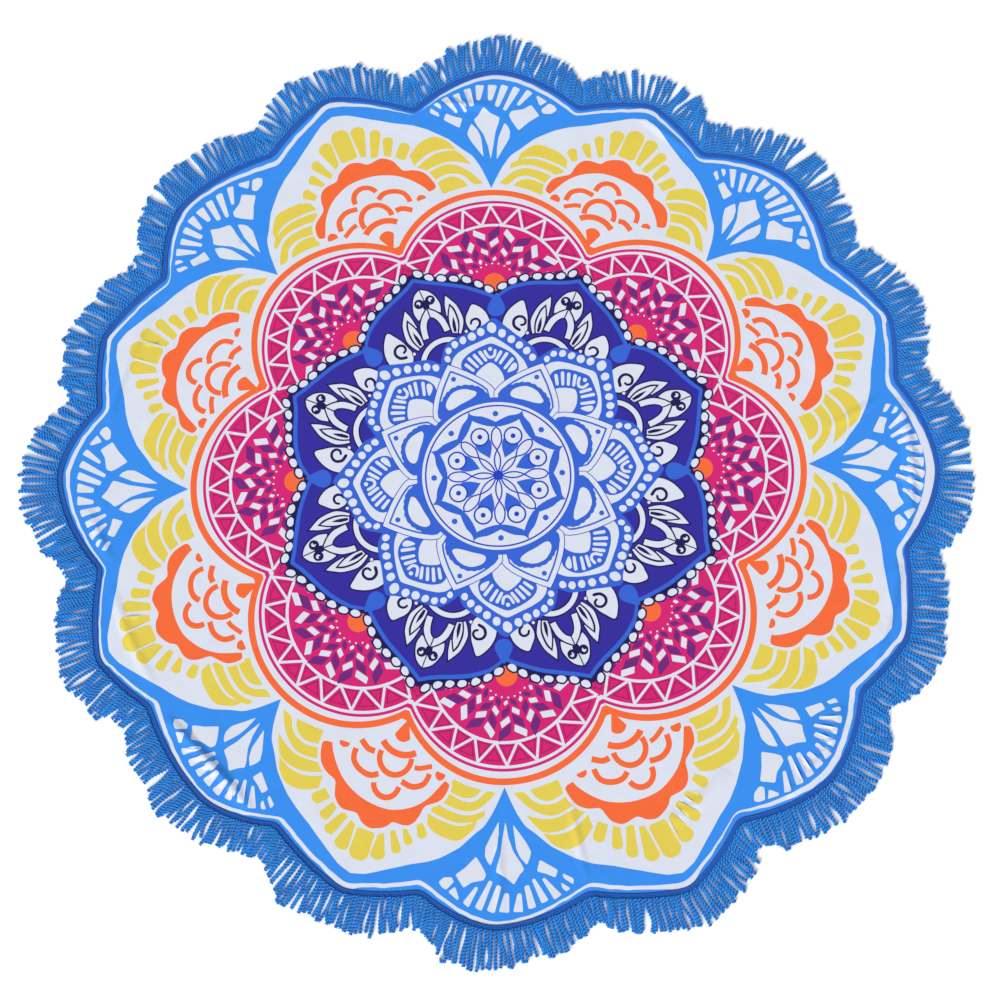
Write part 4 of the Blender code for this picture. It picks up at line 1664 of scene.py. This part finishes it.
@dataclass
class Heading:
    """The trim's woven heading: a flat tape with rows of chain stitch."""

    stations: int = 1100
    corner_smoothing: int = 6  # stations each way that round the line's corners
    rows: tuple[float, ...] = (-0.0012, 0.0022, 0.0056)  # the stitch rows, from the cloth's edge
    stitch_height: float = 0.0032
    stitch_pitch: float = 0.0029
    stitch_length: float = 0.0034
    stitch_width: float = 0.0022
    stitch_flatness: float = 0.6
    stitch_lean_deg: float = 24.0
    least_lean: float = 0.8  # each stitch leans by a chance share of that
    most_lean: float = 1.2
    stitch_sides: int = 6
    stitch_rings: int = 4
    tape_highlight_level: float = 0.45  # how much painted highlight, rather than painted shade, the yarn shows on the tape
    stitch_highlight_level: float = 0.75  # and on the stitches
    seed: int = 3
    profile: tuple[Pair, ...] = (
        (-0.0034, 0.0019), (-0.0026, 0.0029), (0.0004, 0.0033), (0.0010, 0.0031), (0.0040, 0.0034),
        (0.0046, 0.0031), (0.0074, 0.0032), (0.0088, 0.0022), (0.0088, 0.0002), (0.0003, 0.0002),
    )  # distance from the cloth's edge and height, round the tape's section

    def along(self, across: float, height: float) -> np.ndarray:
        """A line round the towel, at a distance from the cloth's edge and a height.

        Args:
            across: the distance, outwards.
            height: the height.

        Returns:
            A point for each station.
        """
        line = edge_line(self.stations)
        out = unit(smoothed(ways_out(line), self.corner_smoothing))
        return on_towel(line + out * across, height)

    def tape(self, finish: bpy.types.Material) -> Piece:
        """The tape itself, a closed ring with a rounded section.

        Args:
            finish: its material.

        Returns:
            The piece.
        """
        verts = np.concatenate([self.along(across, height) for across, height in self.profile])
        faces = []
        for row in range(len(self.profile)):
            here = row * self.stations
            after = (row + 1) % len(self.profile) * self.stations
            for k in range(self.stations):
                n = (k + 1) % self.stations
                faces.append([here + k, here + n, after + n, after + k])
        made = mesh_object("heading_tape", verts, faces, [finish])
        # The whole tape gets one even level of the yarn's painted highlight and painted shade.
        painted_light_levels = made.data.attributes.new(PLY_SHADE_MIX, "FLOAT", "POINT")
        painted_light_levels.data.foreach_set("value", np.full(len(made.data.vertices), self.tape_highlight_level, dtype=np.float32))
        return made

    def sizes(self) -> dict[str, object]:
        """The stitch tree's named values."""
        return {
            "Stitch Pitch": self.stitch_pitch, "Stitch Length": self.stitch_length,
            "Stitch Width": self.stitch_width, "Lean": math.radians(self.stitch_lean_deg),
            "Seed": self.seed,
        }

    def stitch_tree(self) -> bpy.types.NodeTree:
        """Builds a tree that lays small leaning stitches along lines.

        Returns:
            The tree.
        """
        s = node_group("chain_stitches", "GeometryNodeTree", {
            "Geometry": "NodeSocketGeometry", **self.sizes(), "Finish": "NodeSocketMaterial",
        }, {"Geometry": "NodeSocketGeometry"})
        given = s.add("NodeGroupInput").outputs
        steps = s.add("GeometryNodeCurveToPoints",
                      {"Curve": given["Geometry"], "Length": given["Stitch Pitch"]}, mode="LENGTH").outputs

        ball = s.add("GeometryNodeMeshUVSphere", {
            "Segments": self.stitch_sides, "Rings": self.stitch_rings, "Radius": 0.5,
        })
        thickness = s.math("MULTIPLY", given["Stitch Width"], self.stitch_flatness)
        shaped = s.stretched(ball.outputs["Mesh"], given["Stitch Width"], thickness, given["Stitch Length"])
        # The stitches get more of the painted highlight than the tape.
        stitch = s.marked(s.smooth(shaped), self.stitch_highlight_level)

        along = s.add("FunctionNodeAlignRotationToVector", {"Vector": steps["Tangent"]}, axis="Z")
        jitter = s.add("FunctionNodeRandomValue", {"Seed": given["Seed"]}, data_type="FLOAT")
        least, most = (x for x in jitter.inputs if x.type == "VALUE" and x.name in ("Min", "Max"))
        s.give(least, self.least_lean)
        s.give(most, self.most_lean)
        odd = s.math("MODULO", s.add("GeometryNodeInputIndex").outputs[0], 2.0)
        side = s.math("SUBTRACT", s.math("MULTIPLY", odd, 2.0), 1.0)
        lean = s.math("MULTIPLY", s.math("MULTIPLY", side, given["Lean"]), jitter.outputs[1])
        turn = s.add("FunctionNodeAxisAngleToRotation", {"Axis": (0.0, 0.0, 1.0), "Angle": lean})
        both = s.add("FunctionNodeRotateRotation", {
            "Rotation": along.outputs[0], "Rotate By": turn.outputs[0],
        }, rotation_space="GLOBAL")
        placed = s.add("GeometryNodeInstanceOnPoints", {
            "Points": steps["Points"], "Instance": stitch, "Rotation": both.outputs[0],
        })
        s.end(placed.outputs[0], given["Finish"])
        return s.tree

    def build(self, finish: bpy.types.Material) -> list[Piece]:
        """Builds the tape and its stitches.

        Args:
            finish: their material.

        Returns:
            The two pieces.
        """
        lines = [self.along(row, self.stitch_height) for row in self.rows]
        source = line_object("stitch_lines", lines, True)
        values = {**self.sizes(), "Finish": finish}
        return [self.tape(finish), settled(source, self.stitch_tree(), values, "heading_stitches")]


@dataclass
class Fringe:
    """The cords: two plies twisted together, hanging from the heading and lying side by side."""

    cords: int = 992
    thickness: float = 0.0066
    ply_pinch: float = 0.62  # how flat the twisted section is
    twist_length: float = 0.0106  # one whole turn of the plies
    ring_spacing: float = 0.00125
    sides: int = 6
    length: float = 0.0505
    length_spread: float = 0.0020
    length_drift: float = 0.0120  # slow changes in length along the trim
    drift_cords: int = 9
    valley_shortening: float = 0.18  # cords stand up on one another in the valleys and reach less far
    valley_spread_deg: float = 5.0
    root_inset: float = 0.0035  # how far a cord starts inside the heading's outer side
    root_smoothing: int = 8
    fan_span: float = 0.110  # a cord follows the edge's direction averaged this far each way
    clump: float = 3.5  # cords in a bunch that leans together, on average
    lean_deg: float = 2.6
    sweep_deg: float = 7.0  # neighbouring cords lean the same way over some centimetres
    sweep_cords: int = 12
    stray_deg: float = 2.2
    stray_share: float = 0.11
    stray_more_deg: float = 13.0
    neat_share: float = 0.90  # the messiness on average
    messy_change: float = 0.50  # and how much more there is at the top than in the middle
    bow: float = 0.0021  # how far its middle and its end lie off its line
    most_lift: float = 0.0020  # how high a cord's middle may stand off the floor
    lift_middle: float = 1.15  # above 1 puts the highest place nearer the heading
    floor_gap: float = 0.0001
    loop_share: float = 0.035
    loop_radius: float = 0.0034  # of the hook that some cords end in
    loop_half_turns: float = 1.15
    loop_lift: float = 0.0003  # how much higher it lies
    tip_length: float = 0.0015  # a cord's rounded end
    tip_radius: float = 0.55
    pieces: int = 4
    seed: int = 11

    def roots_and_ways(self, rng: np.random.Generator) -> tuple[Points, Points]:
        """Where each cord starts, and the way it points.

        Args:
            rng: the row of chances.

        Returns:
            The roots and the directions.
        """
        line = edge_line(self.cords)
        pitch = norm(np.diff(line, axis=0), axis=1).mean()
        near = unit(smoothed(ways_out(line), self.root_smoothing))
        roots = line + near * (HEADING_WIDTH - self.root_inset)
        out = smoothed(ways_out(line), max(1, round(self.fan_span / pitch)))
        clump_of = np.cumsum(rng.random(self.cords) < 1.0 / self.clump)
        lean = self.lean_deg * rng.normal(0.0, 1.0, self.cords + 1)[clump_of]
        sweep = smoothed(rng.normal(0.0, 1.0, (self.cords, 1)), self.sweep_cords)[:, 0]
        lean = lean + self.sweep_deg * sweep / sweep.std()
        lean = lean + rng.normal(0.0, self.stray_deg, self.cords)
        stray = rng.random(self.cords) < self.stray_share
        lean = lean + stray * rng.normal(0.0, self.stray_more_deg, self.cords)
        height_share = roots[:, 1] / norm(roots, axis=1)
        lean = lean * (self.neat_share + self.messy_change * height_share)
        spin = (out[:, 0] + 1j * out[:, 1]) * np.exp(1j * np.radians(lean))
        return roots, unit(np.stack([spin.real, spin.imag], axis=-1))

    def lengths(self, roots: Points, rng: np.random.Generator) -> np.ndarray:
        """How long each cord is, shorter in the valleys and drifting slowly along the trim.

        Args:
            roots: where the cords start.
            rng: the row of chances.

        Returns:
            Their lengths, in metres.
        """
        degrees = np.degrees(np.arctan2(roots[:, 1], roots[:, 0]))
        valleys = np.array([lobe.valley_deg for lobe in LOBES])
        gaps = (degrees[:, None] - valleys + 180.0) % 360.0 - 180.0
        away = np.abs(gaps).min(axis=1) / self.valley_spread_deg
        short = self.valley_shortening * np.clip(1.0 - away**2, 0.0, 1.0)
        drift = smoothed(rng.normal(0.0, self.length_drift, (self.cords, 1)), self.drift_cords)[:, 0]
        return self.length * (1.0 - short) + drift + rng.normal(0.0, self.length_spread, self.cords)

    def path(self, root: np.ndarray, way: np.ndarray, length: float,
             rng: np.random.Generator) -> np.ndarray:
        """The line of one cord, from inside the heading to its end on the floor.

        Args:
            root: where it starts.
            way: the way it points.
            length: how long it is outside the heading.
            rng: the row of chances.

        Returns:
            The line's points in the towel's frame.
        """
        half = self.thickness / 2.0
        side = np.array([-way[1], way[0]])
        whole = length + self.root_inset
        tip = self.tip_length / whole
        share = np.append(np.linspace(0.0, 1.0 - 3.0 * tip, 8), [1.0 - tip, 1.0])
        bow = rng.normal(0.0, self.bow) * np.sin(np.pi * share) + rng.normal(0.0, self.bow) * share**2
        bow = bow + rng.normal(0.0, self.bow / 2.0) * np.sin(2.0 * np.pi * share)
        flat = root + np.outer(share * whole, way) + np.outer(bow, side)
        lift = rng.uniform(0.0, self.most_lift)
        rest = half + self.floor_gap
        height = rest + lift * np.sin(np.pi * np.minimum(share * self.lift_middle, 1.0))
        if rng.random() < self.loop_share:
            turns = np.linspace(0.0, self.loop_half_turns * np.pi, 7)[1:]
            hand = 1.0 if rng.random() < 0.5 else -1.0
            across = side * hand
            bent = np.outer(np.sin(turns), way) - np.outer(np.cos(turns), across)
            flat = np.concatenate([flat, flat[-1] + self.loop_radius * (across + bent)])
            height = np.append(height, np.full(len(turns), rest + self.loop_lift))
        return on_towel(flat, height)

    def sizes(self) -> dict[str, object]:
        """The cord tree's named values."""
        return {
            "Thickness": self.thickness, "Ply Pinch": self.ply_pinch, "Twist Length": self.twist_length,
            "Ring Spacing": self.ring_spacing, "Sides": self.sides, "Seed": self.seed,
        }

    def cord_tree(self) -> bpy.types.NodeTree:
        """Builds a tree that makes a twisted two-ply cord of every line.

        Returns:
            The tree.
        """
        s = node_group("two_ply_cords", "GeometryNodeTree", {
            "Geometry": "NodeSocketGeometry", **self.sizes(), "Finish": "NodeSocketMaterial",
        }, {"Geometry": "NodeSocketGeometry"})
        given = s.add("NodeGroupInput").outputs
        fine = s.add("GeometryNodeResampleCurve", mode="LENGTH")
        s.feed(fine, {"Curve": given["Geometry"], "Length": given["Ring Spacing"]})

        index = s.add("GeometryNodeInputIndex").outputs[0]
        cord = s.add("GeometryNodeFieldOnDomain", {0: index}, data_type="INT", domain="CURVE")
        chance = s.add("FunctionNodeRandomValue", {"ID": cord.outputs[0], "Seed": given["Seed"]},
                       data_type="FLOAT")
        along = s.add("GeometryNodeSplineParameter").outputs["Length"]
        turns = s.math("ADD", s.math("DIVIDE", along, given["Twist Length"]), chance.outputs[1])
        tilt = s.add("GeometryNodeSetCurveTilt", {
            "Curve": fine.outputs[0], "Tilt": s.math("MULTIPLY", turns, 2.0 * math.pi),
        })

        section = s.add("GeometryNodeCurvePrimitiveCircle", mode="RADIUS")
        s.feed(section, {"Resolution": given["Sides"], "Radius": 1.0})
        spot = s.add("GeometryNodeInputPosition").outputs[0]
        across = s.add("ShaderNodeSeparateXYZ", {0: spot}).outputs["X"]
        # The section's wide ends get the painted highlight and its pinched sides the painted shade.
        shade_marked_section = s.marked(section.outputs["Curve"], s.math("MULTIPLY", across, across))
        half = s.math("MULTIPLY", given["Thickness"], 0.5)
        pinched = s.stretched(shade_marked_section, half, s.math("MULTIPLY", half, given["Ply Pinch"]), half)
        swept = s.add("GeometryNodeCurveToMesh", {
            "Curve": tilt.outputs[0], "Profile Curve": pinched, "Fill Caps": True,
        })
        s.end(s.smooth(swept.outputs[0]), given["Finish"])
        return s.tree

    def build(self, finish: bpy.types.Material) -> list[Piece]:
        """Builds the cords, as a few pieces that each hold a share of them.

        Args:
            finish: their material.

        Returns:
            The pieces.
        """
        rng = np.random.default_rng(self.seed)
        roots, ways = self.roots_and_ways(rng)
        lengths = self.lengths(roots, rng)
        tree = self.cord_tree()
        values = {**self.sizes(), "Finish": finish}
        made = []
        for part, members in enumerate(np.array_split(np.arange(self.cords), self.pieces)):
            lines = [self.path(roots[k], ways[k], lengths[k], rng) for k in members]
            source = line_object("cord_lines", lines, False, self.tip_radius)
            made.append(settled(source, tree, values, f"fringe_cords_{part + 1}"))
        return made


@dataclass
class Studio:
    """The pale floor, the soft light and the camera at the photo's angle."""

    aim: Pair = (0.00146, -0.03459)
    distance: float = 3.1447
    tilt_deg: float = 13.39
    lens: float = 72.0
    sensor_width: float = 36.0
    floor_size: float = 12.0
    floor_level: float = -0.0002  # just below the towel's underside
    floor_colour: tuple[int, int, int] = (250, 250, 252)
    floor_roughness: float = 0.9
    floor_gloss: float = 0.1
    floor_glow: float = 0.15  # the backdrop is lit on its own, to white
    sky_strength: float = 0.42
    sky_colour: tuple[float, float, float] = (0.97, 0.98, 1.0)
    lamp_power: float = 2.75
    lamp_angle_deg: float = 28.0
    lamp_turn_deg: tuple[float, float, float] = (42.0, -32.0, 0.0)

    def floor(self) -> Piece:
        """The floor under the towel.

        Returns:
            The floor.
        """
        half = self.floor_size / 2.0
        corners = [(x * half, y * half, self.floor_level) for x, y in ((-1, -1), (1, -1), (1, 1), (-1, 1))]
        colour = (*linear(self.floor_colour), 1.0)
        finish, _, _ = new_finish("pale_floor", Base_Color=colour, Emission_Color=colour,
                                  Emission_Strength=self.floor_glow, Roughness=self.floor_roughness,
                                  Specular_IOR_Level=self.floor_gloss)
        return mesh_object("floor", np.array(corners), [[0, 1, 2, 3]], [finish])

    def light(self) -> None:
        """An even sky and one wide soft lamp."""
        world = bpy.data.worlds.new("soft_sky")
        world.use_nodes = True
        NodeSheet(world.node_tree).feed(world.node_tree.nodes["Background"], {
            "Color": (*self.sky_colour, 1.0), "Strength": self.sky_strength,
        })
        bpy.context.scene.world = world
        lamp = bpy.data.lights.new("soft_sun", "SUN")
        lamp.energy = self.lamp_power
        lamp.angle = math.radians(self.lamp_angle_deg)
        held = in_scene("soft_sun", lamp)
        held.rotation_euler = [math.radians(turn) for turn in self.lamp_turn_deg]

    def camera(self) -> None:
        """The camera above the towel, leaning as the photo's did."""
        tilt = math.radians(self.tilt_deg)
        seen = bpy.data.cameras.new("above")
        seen.lens = self.lens
        seen.sensor_width = self.sensor_width
        held = in_scene("above", seen)
        x, y = self.aim
        held.location = (x, y - self.distance * math.sin(tilt), self.distance * math.cos(tilt))
        held.rotation_euler = (tilt, 0.0, 0.0)
        bpy.context.scene.camera = held

    def build(self) -> None:
        """Sets up the floor, the light and the camera."""
        self.floor()
        self.light()
        self.camera()
        bpy.context.scene.view_settings.view_transform = "Standard"


def main() -> None:
    """Builds the towel and its studio, attaches every piece to the root and logs its faces."""
    logging.basicConfig(level=logging.INFO, format="%(name)s: %(message)s")
    Studio().build()
    cloth = Cloth()
    sheet = cloth.build()
    # Each yarn's two colours are its dye with a painted highlight and with painted shade.
    cord_finish = YarnFinish("cord_yarn", ridge_highlight=(52, 168, 255), groove_shade=(0, 66, 158)).material()
    tape_yarn = YarnFinish("tape_yarn", ridge_highlight=(34, 112, 208), groove_shade=(14, 70, 156), unevenness=0.12)
    trim = [*Heading().build(tape_yarn.material()), *Fringe().build(cord_finish)]

    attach(sheet, "root")
    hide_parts("cloth")
    for piece in trim:
        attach(piece, "root")
        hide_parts("fringe")
    cloth.flat_area()
    for piece in (sheet, *trim):
        LOG.info("%s: %d faces", piece.name, len(piece.data.polygons))


if __name__ == "__main__":
    main()
